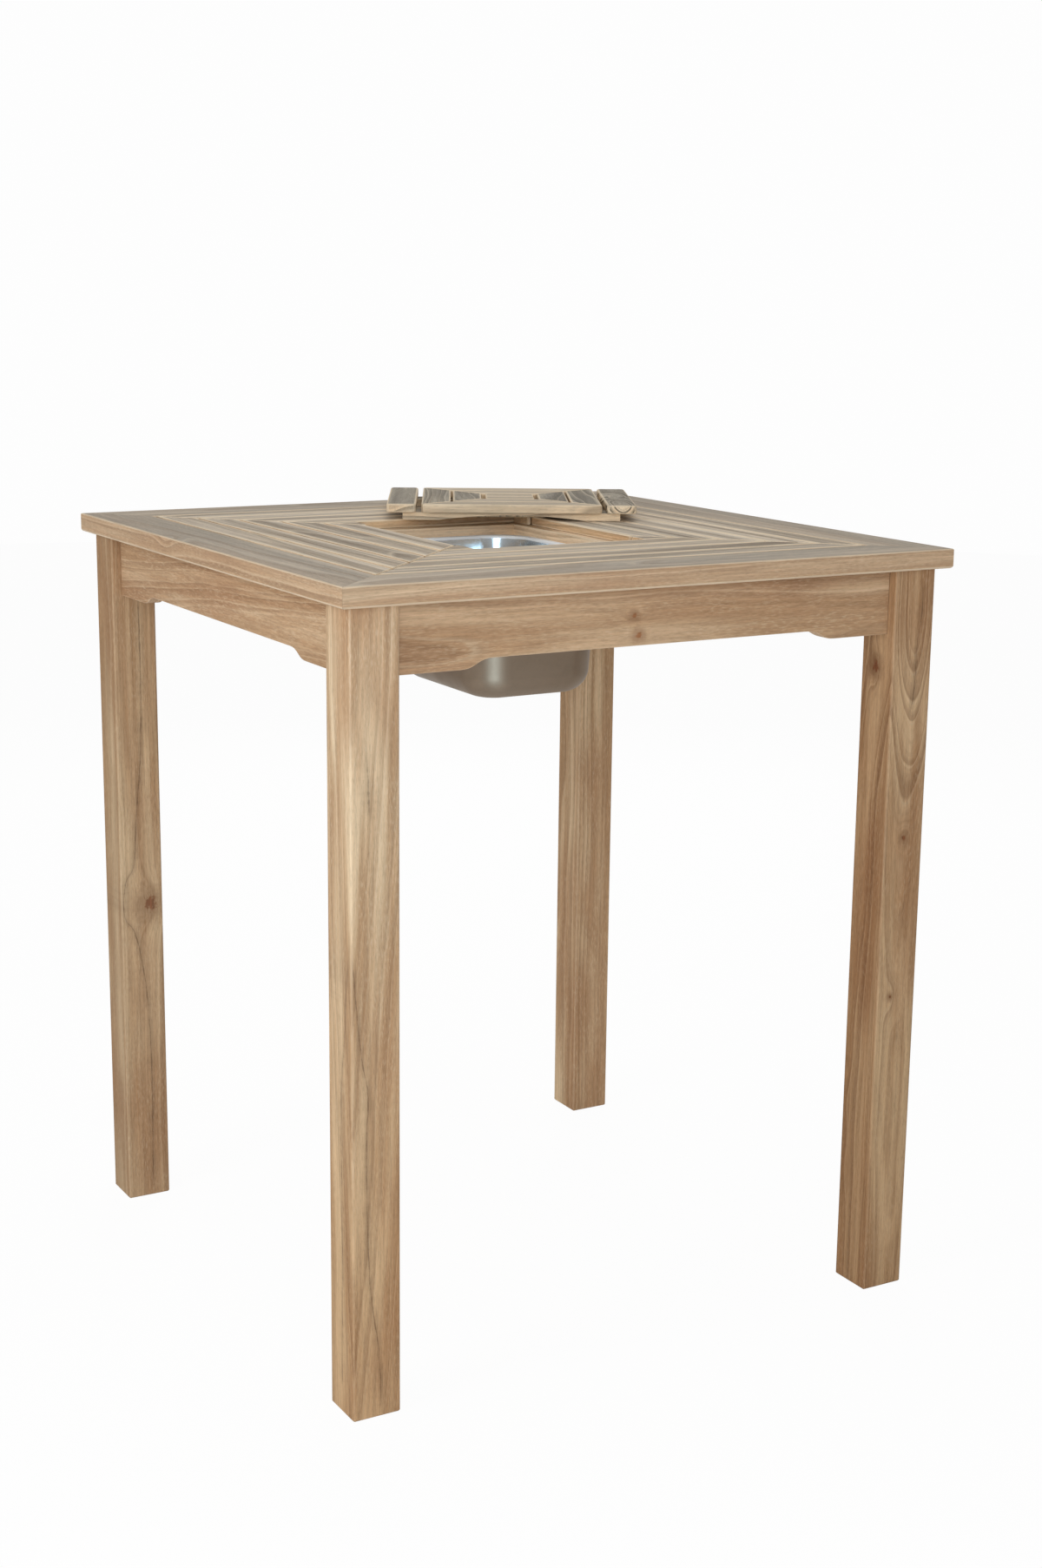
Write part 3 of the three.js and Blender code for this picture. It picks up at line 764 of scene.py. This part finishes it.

# %% [markdown]
# ## What single boards show
#
# A board that shows its character in the photograph gets it here, in metres in its own grain
# space: X and Y across the grain, Z along it, from the board's middle. The pith lies beside the
# board and leans, or its way gives its Y at each height. A knot has its centre, its reach, how far
# it pushes the rings and the size of its heart. A vein lies across X or Y, has a width and follows
# its way. A tint colours the board's upper end and a low tint its lower end. Where they differ, on
# the front legs, they paint light and shade: lighter high up, painted shade low down. A left tint
# is painted shade, with a painted red bounce light, on the face that looks left, under the table.

# %% The character of single boards
CHARACTER = {
    # This leg's tint paints light on its upper end and its low tint paints shade on its lower end.
    "leg_front_left": {
        "pith": (-0.062, -0.058), "lean": (0.06, 0.04), "ring": 0.014, "tint": (1.09, 1.15, 1.23),
        "low_painted_shade": (0.84, 0.76, 0.68), "veins": [
            ("X", 0.0012, [
                (-0.507, 0.005), (-0.426, 0.003), (-0.341, -0.008), (-0.252, -0.012), (-0.138, -0.013),
                (-0.082, -0.011), (-0.042, -0.018), (0.009, -0.024), (0.117, -0.032),
            ]),
            ("Y", 0.0009, [
                (-0.478, 0.0), (-0.245, -0.003), (-0.088, -0.003), (-0.003, -0.014), (0.039, -0.017),
                (0.117, -0.032),
            ]),
            ("X", 0.0018, [(0.25, -0.006), (0.27, -0.008), (0.3, -0.009), (0.36, -0.012)]),
        ],
    },
    "leg_back_left": {
        "pith": (0.09, 0.02), "lean": (0.0, 0.012), "ring": 0.009, "tint": (0.86, 0.85, 0.84),
        "knots": [((0.013, -0.0325, -0.044), (0.018, 0.03, 0.04), 0.02, 0.0092)],
        "veins": [("X", 0.0012, [
            (-0.507, 0.005), (-0.268, 0.008), (-0.195, 0.005), (-0.148, 0.0), (-0.085, -0.013),
            (-0.056, -0.028), (-0.01, -0.025), (0.015, -0.012), (0.084, -0.006), (0.196, 0.004),
            (0.45, 0.005),
        ])],
    },
    # This leg's low tint paints shade on its lower end, and its left tint paints shade and a red bounce
    # light on its left face.
    "leg_front_right": {
        "pith": (0.004, 0.0), "ring": 0.0052, "rings_strong": 0.5, "tint": (0.84, 0.78, 0.73),
        "low_painted_shade": (0.76, 0.69, 0.62), "left_painted_shade": (0.88, 0.82, 0.77),
        "pith_way": [(-0.507, 0.0275), (0.1, 0.02), (0.183, 0.0175), (0.293, 0.0035), (0.443, -0.0195),
                     (0.507, -0.024)],
        "knots": [((-0.01, -0.0325, -0.08), (0.012, 0.02, 0.03), 0.006, 0.002),
                  ((0.0, -0.0325, 0.143), (0.012, 0.02, 0.02), 0.007, 0.0034),
                  ((-0.0325, 0.003, 0.375), (0.02, 0.012, 0.03), 0.008, 0.006)],
        "veins": [("X", 0.0011, [
            (0.31, 0.0), (0.351, 0.006), (0.403, 0.007), (0.455, 0.013), (0.507, 0.009),
        ])],
    },
    "leg_back_right": {
        "pith": (0.1, 0.05), "lean": (0.0, 0.004), "ring": 0.0065, "tint": (0.95, 0.95, 0.96),
    },
    "apron_front": {
        "pith": (0.02, 0.07), "lean": (0.01, 0.02), "ring": 0.012, "tint": (0.97, 0.96, 0.95),
        "knots": [((-0.007, -0.011, -0.034), (0.008, 0.02, 0.016), 0.006, 0.003),
                  ((0.018, -0.011, -0.027), (0.01, 0.02, 0.018), 0.006, 0.004)],
    },
    "apron_left": {"pith": (0.03, 0.03), "lean": (0.08, 0.03), "ring": 0.008},
    "frame_board_left": {
        "pith": (0.05, 0.03), "lean": (0.02, 0.0), "ring": 0.012,
        "knots": [((-0.01, 0.04, 0.105), (0.02, 0.02, 0.03), 0.012, 0.0)],
    },
    "lid_end_right": {
        "pith": (0.016, 0.004), "lean": (0.2, 0.03), "ring": 0.0042, "rings_strong": 1.0,
        "knots": [((-0.006, 0.0, -0.02), (0.02, 0.014, 0.03), 0.012, 0.0)],
    },
}
for trait in ("knots", "veins"):
    print(sum(len(shown.get(trait, ())) for shown in CHARACTER.values()), trait, "drawn by hand")

# %% [markdown]
# ## Which way the grain runs
#
# Grain always runs along a board. The names say which boards run from front to back, and the turn
# of the lid is measured between its two end pieces. How long and wide a board is along and across
# its grain then follows from its own corners.

# %% Measuring the boards
EIGHTH = math.pi / 4
lid_length = middle("lid_end_right") - middle("lid_end_left")
LID_TURN = math.atan2(lid_length.y, lid_length.x)


def grain_direction(node):
    """The turn and the lay of a node's grain."""
    if node.startswith("leg_"):
        return 0.0, 0.0
    if node.startswith("diagonal_cleat_"):
        return (EIGHTH if node.endswith(("front_left", "back_right")) else -EIGHTH), QUARTER
    crosswise = node.startswith(("lid_end_", "lid_cross_", "long_bearer_"))
    if not node.startswith(("side_bearer_", "corner_stub_")):
        crosswise = crosswise or "_left" in node or "_right" in node
    start = LID_TURN if node.startswith("lid_") else 0.0
    return start + (QUARTER if crosswise else 0.0), QUARTER


def plan_way(turned):
    """The level way that points this far round from +X."""
    return Vector((math.cos(turned), math.sin(turned), 0))


def measure_board(node, turned):
    """The middle of a board that points the turned way in plan, half its length and half its width."""
    along = plan_way(turned)
    corners = [vertex.co for vertex in NODES[node].data.vertices]
    centre = Vector((0, 0, middle(node).z))
    halves = []
    for way in (along, Vector((-along.y, along.x, 0))):
        reaches = [corner.dot(way) for corner in corners]
        centre += way * (max(reaches) + min(reaches)) / 2
        halves.append((max(reaches) - min(reaches)) / 2)
    return centre, *halves


print("the lid is turned by", round(math.degrees(LID_TURN), 1), "degrees")

# %% [markdown]
# ## One board, one material
#
# No two boards come from the same place in a log, so every board gets a material of its own: the
# groups above, with its own pith, rings, seed and tones. What nobody looked at closely is drawn by
# chance, with the board's name as the seed, so that it comes out the same each time.

# %% Pith, knots and veins in a board
SMALLEST_CORE = MM / 10  # a knot without a heart still needs a size to divide by


def random_character(chance):
    """The pith and rings of a board that nobody looked at closely."""
    around = chance.uniform(0, 2 * math.pi)
    away = chance.uniform(0.035, 0.11)
    return {
        "pith": (away * math.cos(around), away * math.sin(around)),
        "lean": (chance.uniform(-0.05, 0.05), chance.uniform(-0.05, 0.05)),
        "ring": chance.uniform(0.006, 0.011),
    }


def place_pith(along, character):
    """Where the pith lies at each height along the board."""
    x, y = character["pith"]
    if "pith_way" in character:
        return join(x, draw_way(along, character["pith_way"]), 0.0)
    lean_x, lean_y = character["lean"]
    return join(scaled(along, lean_x, x), scaled(along, lean_y, y), 0.0)


def place_knots(grain, knots):
    """How far the knots push the rings, and the masks of their hearts and halos."""
    bulge = heart = halo = 0.0
    for centre, reach, height, core in knots:
        knot = place_group(
            KNOT, Grain=grain, Centre=centre, Reach=reach, Height=height, Core=max(core, SMALLEST_CORE)
        )
        bulge = plus(bulge, knot["Bulge"])
        if core:
            heart = highest(heart, knot["Heart"])
            halo = highest(halo, knot["Halo"])
    return bulge, heart, halo


def place_veins(parts, veins):
    """The mask of all the board's veins."""
    vein = 0.0
    for side, width, way in veins:
        aside = minus(parts[side], draw_way(parts["Z"], way))
        found = place_group(
            VEIN, Aside=aside, Along=parts["Z"], Width=width, From=way[0][0], To=way[-1][0]
        )
        vein = highest(vein, found["Vein"])
    return vein


print("the pith of a board by chance", random_character(random.Random("board"))["pith"])

# %% Tones, tints and the shader
TINT_SPAN = 0.45  # a tint, and the painted light and shade from the low tint up to it, changes from this far below a board's middle to this far above it
# Where a face looks left, the left tint paints shade and a red bounce light on it.
LEFT_FACE = (-0.3, -0.8)  # the normal's X where a face begins to look left and looks left
BOARD_SPREAD = 0.04  # how much brighter or darker than its tone one board may be
SLAT_SPREAD = 0.08


def board_tones(node, character):
    """The colours and shares of a board, with its colours turned into light."""
    tones = COMMON_TONES | TONES[SLOT_OF[node]]
    if node.startswith(LONG_LID_BOARDS):
        tones |= LONG_LID_TONES
    if "rings_strong" in character:
        tones["Rings"] = character["rings_strong"]
    return {name: srgb(*tone) if isinstance(tone, tuple) else tone for name, tone in tones.items()}


def tint_and_paint_shade(colour, character, brightness, along, looks):
    """Tints the colour from the lower end to the upper one, painting light high up and shade low down
    where the two tints differ, and paints shade on the left face.
    """
    high = character.get("tint", (1, 1, 1))
    ends = (character.get("low_painted_shade", high), high)
    low, high = [(*(value * brightness for value in tint), 1.0) for tint in ends]
    # Painted light and shade along the board, from the low tint to the tint.
    tint = mix(fade(along, -TINT_SPAN, TINT_SPAN), low, high)
    colour = mix(1.0, colour, tint, mode="MULTIPLY")
    # Painted shade on the face that looks left.
    if "left_painted_shade" in character:
        looks_left = fade(split(looks)["X"], *LEFT_FACE)
        colour = mix(looks_left, colour, (*character["left_painted_shade"], 1.0), mode="MULTIPLY")
    return colour


def add_shader(surface, colour, roughness, height, strength, depth):
    """The Principled shader on a bump of the height. It is returned for its other settings."""
    bump = add_node("Bump", {"Strength": strength, "Distance": depth, "Height": height})
    values = {"Base Color": colour, "Roughness": roughness, "Normal": bump.outputs["Normal"]}
    shader = add_node("BsdfPrincipled", values)
    plug(surface, shader.outputs["BSDF"])
    return shader


SLOT_OF = {part["node"]: part["material_slot"] for part in frame["record"]["subparts"]}
print(len(set(SLOT_OF.values())), "material slots")

# %% Every board gets its teak
GRAIN_BUMP = 0.4
GRAIN_DEPTH = 0.4 * MM
TEAK_GLOSS = 0.15  # bare wood mirrors little
NO_MARGIN = 1.0  # a half width in metres at which nothing is near a leg's edge


def make_teak(node):
    """The material of one board."""
    chance = random.Random(node)
    character = random_character(chance) | CHARACTER.get(node, {})
    paint = bpy.data.materials.new("teak_" + node)
    tree, surface = start_tree(paint)
    seen = add_node("TexCoord", tree=tree).outputs
    turned, lay = grain_direction(node)
    centre, _, half_width = measure_board(node, turned)
    grain = place_group(GRAIN_SPACE, Place=seen["Object"], Centre=centre, Turn=turned, Lay=lay)["Grain"]
    looks = place_group(GRAIN_SPACE, Place=seen["Normal"], Turn=turned, Lay=lay)["Grain"]
    parts = split(grain)
    bulge, heart, halo = place_knots(grain, character.get("knots", []))
    pith = place_pith(parts["Z"], character)
    rings = place_group(GROWTH_RINGS, Grain=grain, Pith=pith, Width=character["ring"], Bulge=bulge)
    fibres = place_group(FIBRES, Grain=grain, Seed=chance.uniform(1, 9))
    exposure = place_group(
        EXPOSURE, Normal=seen["Normal"], Turned=looks, Across=parts["Y"],
        Half=half_width if lay else NO_MARGIN,
        Margin=WORN_SLAT if node.startswith("slat_") else WORN_MARGIN,
    )
    masks = {mask.name: mask for mask in (*rings, *fibres, *exposure)}
    masks |= {"Vein": place_veins(parts, character.get("veins", [])), "Heart": heart, "Halo": halo}
    teak = place_group(TEAK_SURFACE, **masks, **board_tones(node, character))
    spread = SLAT_SPREAD if "slat_" in node else BOARD_SPREAD
    brightness = chance.uniform(1 - spread, 1 + spread)
    colour = tint_and_paint_shade(teak["Colour"], character, brightness, parts["Z"], looks)
    shader = add_shader(surface, colour, teak["Roughness"], teak["Height"], GRAIN_BUMP, GRAIN_DEPTH)
    shader.inputs["Specular IOR Level"].default_value = TEAK_GLOSS
    return paint


for node, piece in NODES.items():
    if SLOT_OF[node] in TONES:
        dress(piece, make_teak(node))
print(len(bpy.data.materials), "materials")

# %% [markdown]
# ## The lid's rounded ends and arched battens
#
# Hands take the lid by its two end pieces, so their corners are rounded. Each batten under it is
# relieved by a long shallow arch, so that it stands on two short feet where the lid is put down. A
# copy of the solid is enough to start with. Its loose triangles are merged into one skin first.
# Then the corners are bevelled, and a cylinder as large as a cartwheel cuts the arch.

# %% Copying and cutting a board
MERGE = MM / 100
FLAT_ANGLE = math.radians(0.5)  # faces that meet at less than this become one


def copy_board(node):
    """A copy of a board with its own mesh, merged into one skin with flat faces."""
    piece = link_object(node + "_shaped", NODES[node].data.copy())
    piece.data.name = piece.name
    select_only(piece)
    mode("EDIT")
    bpy.ops.mesh.select_all(action="SELECT")
    bpy.ops.mesh.remove_doubles(threshold=MERGE)
    bpy.ops.mesh.dissolve_limited(angle_limit=FLAT_ANGLE)
    mode("OBJECT")
    return piece


def cut_away(piece, cutter):
    """Cuts the cutter out of the piece and deletes it."""
    cut = piece.modifiers.new("cut", "BOOLEAN")
    cut.object = cutter
    select_only(piece)
    bpy.ops.object.modifier_apply(modifier="cut")
    select_only(cutter)
    bpy.ops.object.delete()


print("doubles are merged within", MERGE / MM, "mm")

# %% Rounding the ends and arching the battens
LID_CORNER = 4.5 * MM
ARCH_RISE = 7.5 * MM
FOOT_LENGTH = 50 * MM
ARCH_STEPS = 720


def round_end(node):
    """An end piece whose four upright corners are round."""
    piece = copy_board(node)
    round_off(piece, "EDGE", lambda centre, way: abs(way.z) > MERGE, LID_CORNER, 5)
    return piece


def arch_batten(node):
    """A batten with an arch cut out of its underside between two feet."""
    piece = copy_board(node)
    centre, half_length, half_width = measure_board(node, LID_TURN)
    half_span = half_length - FOOT_LENGTH
    radius = (half_span ** 2 + ARCH_RISE ** 2) / (2 * ARCH_RISE)
    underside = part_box(node)[0].z
    bpy.ops.mesh.primitive_cylinder_add(
        vertices=ARCH_STEPS, radius=radius, depth=3 * half_width,
        location=(centre.x, centre.y, underside + ARCH_RISE - radius), rotation=(QUARTER, 0, LID_TURN),
    )
    cut_away(piece, start_piece("wheel"))
    return piece


lid_work = {"lid_end_left": round_end, "lid_end_right": round_end}
lid_work |= {"lid_batten_front": arch_batten, "lid_batten_back": arch_batten}
for node, work in lid_work.items():
    shaped = work(node)
    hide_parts(node)
    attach(shaped, "lid")
    print(shaped.name, len(shaped.data.polygons), "faces")

# %% [markdown]
# ## The pressed bucket
#
# The real bucket is drawn from one sheet of stainless steel, so it has no sharp corner anywhere.
# It could be lofted through rings of points, but it is closer to the press to start with the
# mouth, round its corners, push the floor down with a little draft and round the bend between
# wall and floor. The flange is the mouth's edge pulled outwards, and its edge is turned down.

# %% The sizes of the bucket
FLANGE_WIDTH = 11 * MM
FLANGE_LIP = 4 * MM
SHEET = 1 * MM
MOUTH_CORNER = 54 * MM
BUCKET_DRAFT = 11 * MM
FLOOR_BEND = 30 * MM
MOUTH_BEND = 3 * MM
LIP_EASE = 1.5 * MM
NEAR = 0.1 * MM  # what lies this near a height counts as on it

bucket_low, bucket_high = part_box("ice_bucket")
FLANGE_TOP = bucket_high.z
BUCKET_DEPTH = bucket_high.z - bucket_low.z - SHEET
FLANGE_SIZE = (bucket_high - bucket_low).xy
MOUTH_SIZE = FLANGE_SIZE - Vector((2 * FLANGE_WIDTH, 2 * FLANGE_WIDTH))
FLOOR_SIZE = MOUTH_SIZE - Vector((2 * BUCKET_DRAFT, 2 * BUCKET_DRAFT))
print("mouth", [round(side / MM) for side in MOUTH_SIZE], "mm")


# %% Pressing the bucket
def stretch(size, start):
    """The resize operator's value that takes one plan size to another."""
    return (size.x / start.x, size.y / start.y, 1)


bpy.ops.mesh.primitive_plane_add(size=1, location=(0, 0, FLANGE_TOP))
bucket = start_piece("bucket_shell")
mode("EDIT")
bpy.ops.mesh.select_all(action="SELECT")
bpy.ops.transform.resize(value=(MOUTH_SIZE.x, MOUTH_SIZE.y, 1))
bpy.ops.mesh.bevel(offset=MOUTH_CORNER, segments=16, affect="VERTICES")

# The floor goes down, draws in and gets its bend, and the mouth is opened.
pick(bucket, "FACE", lambda centre, normal: True)
bpy.ops.mesh.extrude_region_move(TRANSFORM_OT_translate={"value": (0, 0, -BUCKET_DEPTH)})
bpy.ops.transform.resize(value=stretch(FLOOR_SIZE, MOUTH_SIZE))
bpy.ops.mesh.bevel(offset=FLOOR_BEND, segments=10, affect="EDGES")
pick(bucket, "FACE", lambda centre, normal: centre.z > FLANGE_TOP - NEAR)
bpy.ops.mesh.delete(type="ONLY_FACE")

# The mouth's edge goes outwards to the flange's edge, and then down into the lip.
pick(bucket, "EDGE", lambda centre, way: centre.z > FLANGE_TOP - NEAR)
bpy.ops.mesh.extrude_edges_move()
bpy.ops.transform.resize(value=stretch(FLANGE_SIZE, MOUTH_SIZE))
bpy.ops.mesh.extrude_edges_move(TRANSFORM_OT_translate={"value": (0, 0, -FLANGE_LIP)})
mode("OBJECT")
print("bucket", [round(value, 4) for value in bucket.dimensions], len(bucket.data.polygons), "faces")

# %% [markdown]
# ## Steel, polished inside and satin outside
#
# Drawn steel carries faint scratches round its wall and a film of handling and water marks. The
# scratches are noise that is stretched flat, as the press pulls them, and they turn the normal a
# little. The marks change the colour and the roughness, so that the reflection breaks up. The
# outside's warm brown is a painted reflection of a dark room round it. The flange is painted near
# white and is nearly matt: a painted highlight of the light from above, so that it shows that light
# and not the rail behind it.

# %% Two kinds of steel
STAIN_SHARE = 0.35
FILM_ROUGH = 0.08  # how much rougher the film is than clean steel
SCRATCH_BUMP = 0.12
SCRATCH_DEPTH = 0.1 * MM
BRUSHED_ROUND = 0.25  # a quarter turn, so that the brushing runs round the wall
# The flange is rough and mostly not metal, so that its near-white colour shows as a painted highlight.
RIM_GLOSS = 0.6
RIM_MATT = 0.85
RIM_FROM, RIM_TO = FLANGE_TOP - 1.6 * MOUTH_BEND, FLANGE_TOP - MOUTH_BEND


def make_steel(name, clean, stained, flange_painted_highlight, gloss, brushing):
    """Steel of three colours: clean, under its film, and on the flange, where it is a painted highlight.
    """
    paint = bpy.data.materials.new(name)
    tree, surface = start_tree(paint)
    place = add_node("TexCoord", tree=tree).outputs["Object"]
    scratches = long_noise(place, across=0.05, along=0.0012, detail=3.0)
    marks = long_noise(place, across=0.035, along=0.035, detail=4.0, roughness=0.6)
    spots = long_noise(place, across=0.006, along=0.006)
    film = times(fade(marks, 0.35, 0.7), fade(spots, 0.3, 0.7, 0.7, 1.0))
    # The flange's mask: there the steel gets its painted highlight colour.
    rim = fade(split(place)["Z"], RIM_FROM, RIM_TO)
    wall = mix(times(film, STAIN_SHARE), srgb(*clean), srgb(*stained))
    colour = mix(rim, wall, srgb(*flange_painted_highlight))
    wall_rough = scaled(film, FILM_ROUGH, gloss)
    rough = highest(times(rim, RIM_GLOSS), wall_rough)
    shader = add_shader(surface, colour, rough, scratches, SCRATCH_BUMP, SCRATCH_DEPTH)
    plug(shader.inputs["Metallic"], scaled(rim, -RIM_MATT, 1.0))
    tangent = add_node("Tangent", tree=tree, direction_type="RADIAL", axis="Z")
    plug(shader.inputs["Tangent"], tangent.outputs[0])
    shader.inputs["Anisotropic"].default_value = brushing
    shader.inputs["Anisotropic Rotation"].default_value = BRUSHED_ROUND
    return paint


POLISHED = make_steel("steel_polished", (192, 199, 203), (178, 185, 189), (252, 254, 255), 0.16, 0.3)
# The outside's warm brown colours are a painted reflection of a dark room round it; the film's stain on
# it is real.
SATIN_WITH_PAINTED_REFLECTION = make_steel("steel_satin_painted_reflection", (147, 130, 112), (136, 120, 102), (147, 130, 112), 0.48, 0.4)
print("steel", POLISHED.name, SATIN_WITH_PAINTED_REFLECTION.name)

# %% [markdown]
# ## Rounding the bends and giving the sheet its thickness
#
# A loop of edges is easiest to find as the border of a patch of faces: the border of the lip is
# the flange's outer edge, and the border of everything below the flange is the mouth's edge. Both
# are bevelled. Solidify then gives the sheet its thickness on the outside, with a second material
# there, because the inside of such a bucket is polished and the outside is left as it was pressed.

# %% Rounding the bends
LIP_EDGE = FLANGE_TOP - FLANGE_LIP
BENDS = (
    (lambda centre, normal: LIP_EDGE < centre.z < FLANGE_TOP - NEAR, LIP_EASE, 4),
    (lambda centre, normal: centre.z < LIP_EDGE - FLANGE_LIP, MOUTH_BEND, 6),
)
for test, radius, segments in BENDS:
    round_off(bucket, "FACE", test, radius, segments, border=True)
print("bends of", LIP_EASE / MM, "and", MOUTH_BEND / MM, "mm,", len(bucket.data.polygons), "faces")

# %% The sheet's thickness
SMOOTH_ANGLE = math.radians(35)

mode("EDIT")
bpy.ops.mesh.select_all(action="SELECT")
bpy.ops.mesh.normals_make_consistent(inside=False)
mode("OBJECT")
floor_face = min(bucket.data.polygons, key=lambda face: face.center.z)
if floor_face.normal.z < 0:  # the shell is the inside, so its floor looks up
    mode("EDIT")
    bpy.ops.mesh.flip_normals()
    mode("OBJECT")
dress(bucket, POLISHED, SATIN_WITH_PAINTED_REFLECTION)
sheet = bucket.modifiers.new("sheet", "SOLIDIFY")
sheet.thickness = SHEET
sheet.offset = -1
sheet.use_even_offset = True
sheet.material_offset = 1
select_only(bucket)
bpy.ops.object.modifier_apply(modifier="sheet")
bpy.ops.object.shade_smooth_by_angle(angle=SMOOTH_ANGLE)
dress(NODES["ice_bucket"], POLISHED)
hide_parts("ice_bucket")
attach(bucket, "bucket")
print("sheet", SHEET / MM, "mm,", len(bucket.data.polygons), "faces")

# %% [markdown]
# ## Screws from below
#
# The slats are held by steel screws that come up through the cleats, the bearers and the lid's
# battens, so they show only from underneath. One head is made: a low cylinder whose rim is
# bevelled, with a cross cut into it by a Boolean. It hangs just under the wood that it holds.

# %% One screw head
HEAD_RADIUS = 4 * MM
HEAD_HEIGHT = 0.9 * MM
RIM_BEVEL = 0.5 * MM
CROSS_LENGTH = 4.6 * MM
CROSS_WIDTH = 1.1 * MM
CROSS_DEPTH = 0.5 * MM
DOWNWARD = -0.9  # the normal's Z of a face that looks down


def make_head():
    """One screw head at the origin, with its cross facing down."""
    bpy.ops.mesh.primitive_cylinder_add(
        vertices=20, radius=HEAD_RADIUS, depth=HEAD_HEIGHT, location=(0, 0, HEAD_HEIGHT / 2)
    )
    head = start_piece("screw_head")
    round_off(head, "FACE", lambda centre, normal: normal.z < DOWNWARD, RIM_BEVEL, 2)
    for size in ((CROSS_LENGTH, CROSS_WIDTH), (CROSS_WIDTH, CROSS_LENGTH)):
        bpy.ops.mesh.primitive_cube_add(size=1, scale=(*size, 2 * CROSS_DEPTH))
        cut_away(head, start_piece("cutter"))
    return head


head = make_head()
print("screw head", len(head.data.polygons), "faces")

# %% [markdown]
# ## Where the screws go
#
# Where a slat crosses a bearer, a screw sits in the middle of the crossing, and each cleat holds
# both slats of every mitre. A lid batten holds the end pieces and slats that cross it. The places
# come from the boxes of the pieces, so that they stay right when the table changes.

# %% Finding the places
CLEAT_SPREAD = 13 * MM  # from the mitre to the screw, across the cleat
SLAT_RINGS = 4


def crossings(bearer, slats):
    """The middle of every crossing of a bearer and the slats over it, on the bearer's underside."""
    low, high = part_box(bearer)
    found = []
    for slat in slats:
        slat_low, slat_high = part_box(slat)
        left, right = max(low.x, slat_low.x), min(high.x, slat_high.x)
        front, back = max(low.y, slat_low.y), min(high.y, slat_high.y)
        if left < right and front < back:
            found.append(Vector(((left + right) / 2, (front + back) / 2, low.z)))
    return found


def cleat_places(end, side):
    """Two screws for each mitre over a diagonal cleat."""
    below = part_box(f"diagonal_cleat_{end}_{side}")[0].z
    lean = -1 if (end == "front") != (side == "left") else 1
    across = Vector((1, lean, 0)).normalized()
    found = []
    for ring in range(1, SLAT_RINGS + 1):
        along_x = middle(f"slat_{side}_{ring}").x
        along_y = middle(f"slat_{end}_{ring}").y
        for way in (-1, 1):
            found.append(Vector((along_x, along_y, below)) + across * way * CLEAT_SPREAD)
    return found


def batten_places(batten):
    """Where a lid batten passes under the middle of a crosswise lid piece, up inside its arch."""
    centre, half_length, _ = measure_board(batten, LID_TURN)
    half_span = half_length - FOOT_LENGTH
    found = []
    for side in ("left", "right"):
        for piece in ("lid_end_" + side, f"lid_slat_{side}_1", f"lid_slat_{side}_2"):
            away = (middle(piece) - centre).dot(plan_way(LID_TURN))
            rise = max(0.0, ARCH_RISE * (1 - (away / half_span) ** 2))
            below = Vector((centre.x, centre.y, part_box(batten)[0].z + rise))
            found.append(below + plan_way(LID_TURN) * away)
    return found


print(len(batten_places("lid_batten_front")), "screws in a lid batten")


# %% Setting the screws
def set_screws(name, places, body):
    """Copies the head to every place and joins the copies."""
    copies = []
    for place in places:
        copies.append(link_object(name, head.data.copy()))
        copies[-1].data.transform(Matrix.Translation(place - Vector((0, 0, HEAD_HEIGHT))))
    select_only(*copies)
    bpy.ops.object.join()
    screws = bpy.context.view_layer.objects.active
    screws.name = screws.data.name = name
    dress(screws, SATIN_WITH_PAINTED_REFLECTION)
    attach(screws, body)


slats = [node for node in NODES if node.startswith(("slat_", "corner_stub_"))]
for side in ("left", "right"):
    for bearer in ("long_bearer_" + side, "side_bearer_" + side):
        set_screws("screws_" + bearer, crossings(bearer, slats), "table")
    for end in ("front", "back"):
        set_screws(f"screws_cleat_{end}_{side}", cleat_places(end, side), "table")
for end in ("front", "back"):
    set_screws("screws_lid_" + end, batten_places("lid_batten_" + end), "lid")
select_only(head)
bpy.ops.object.delete()
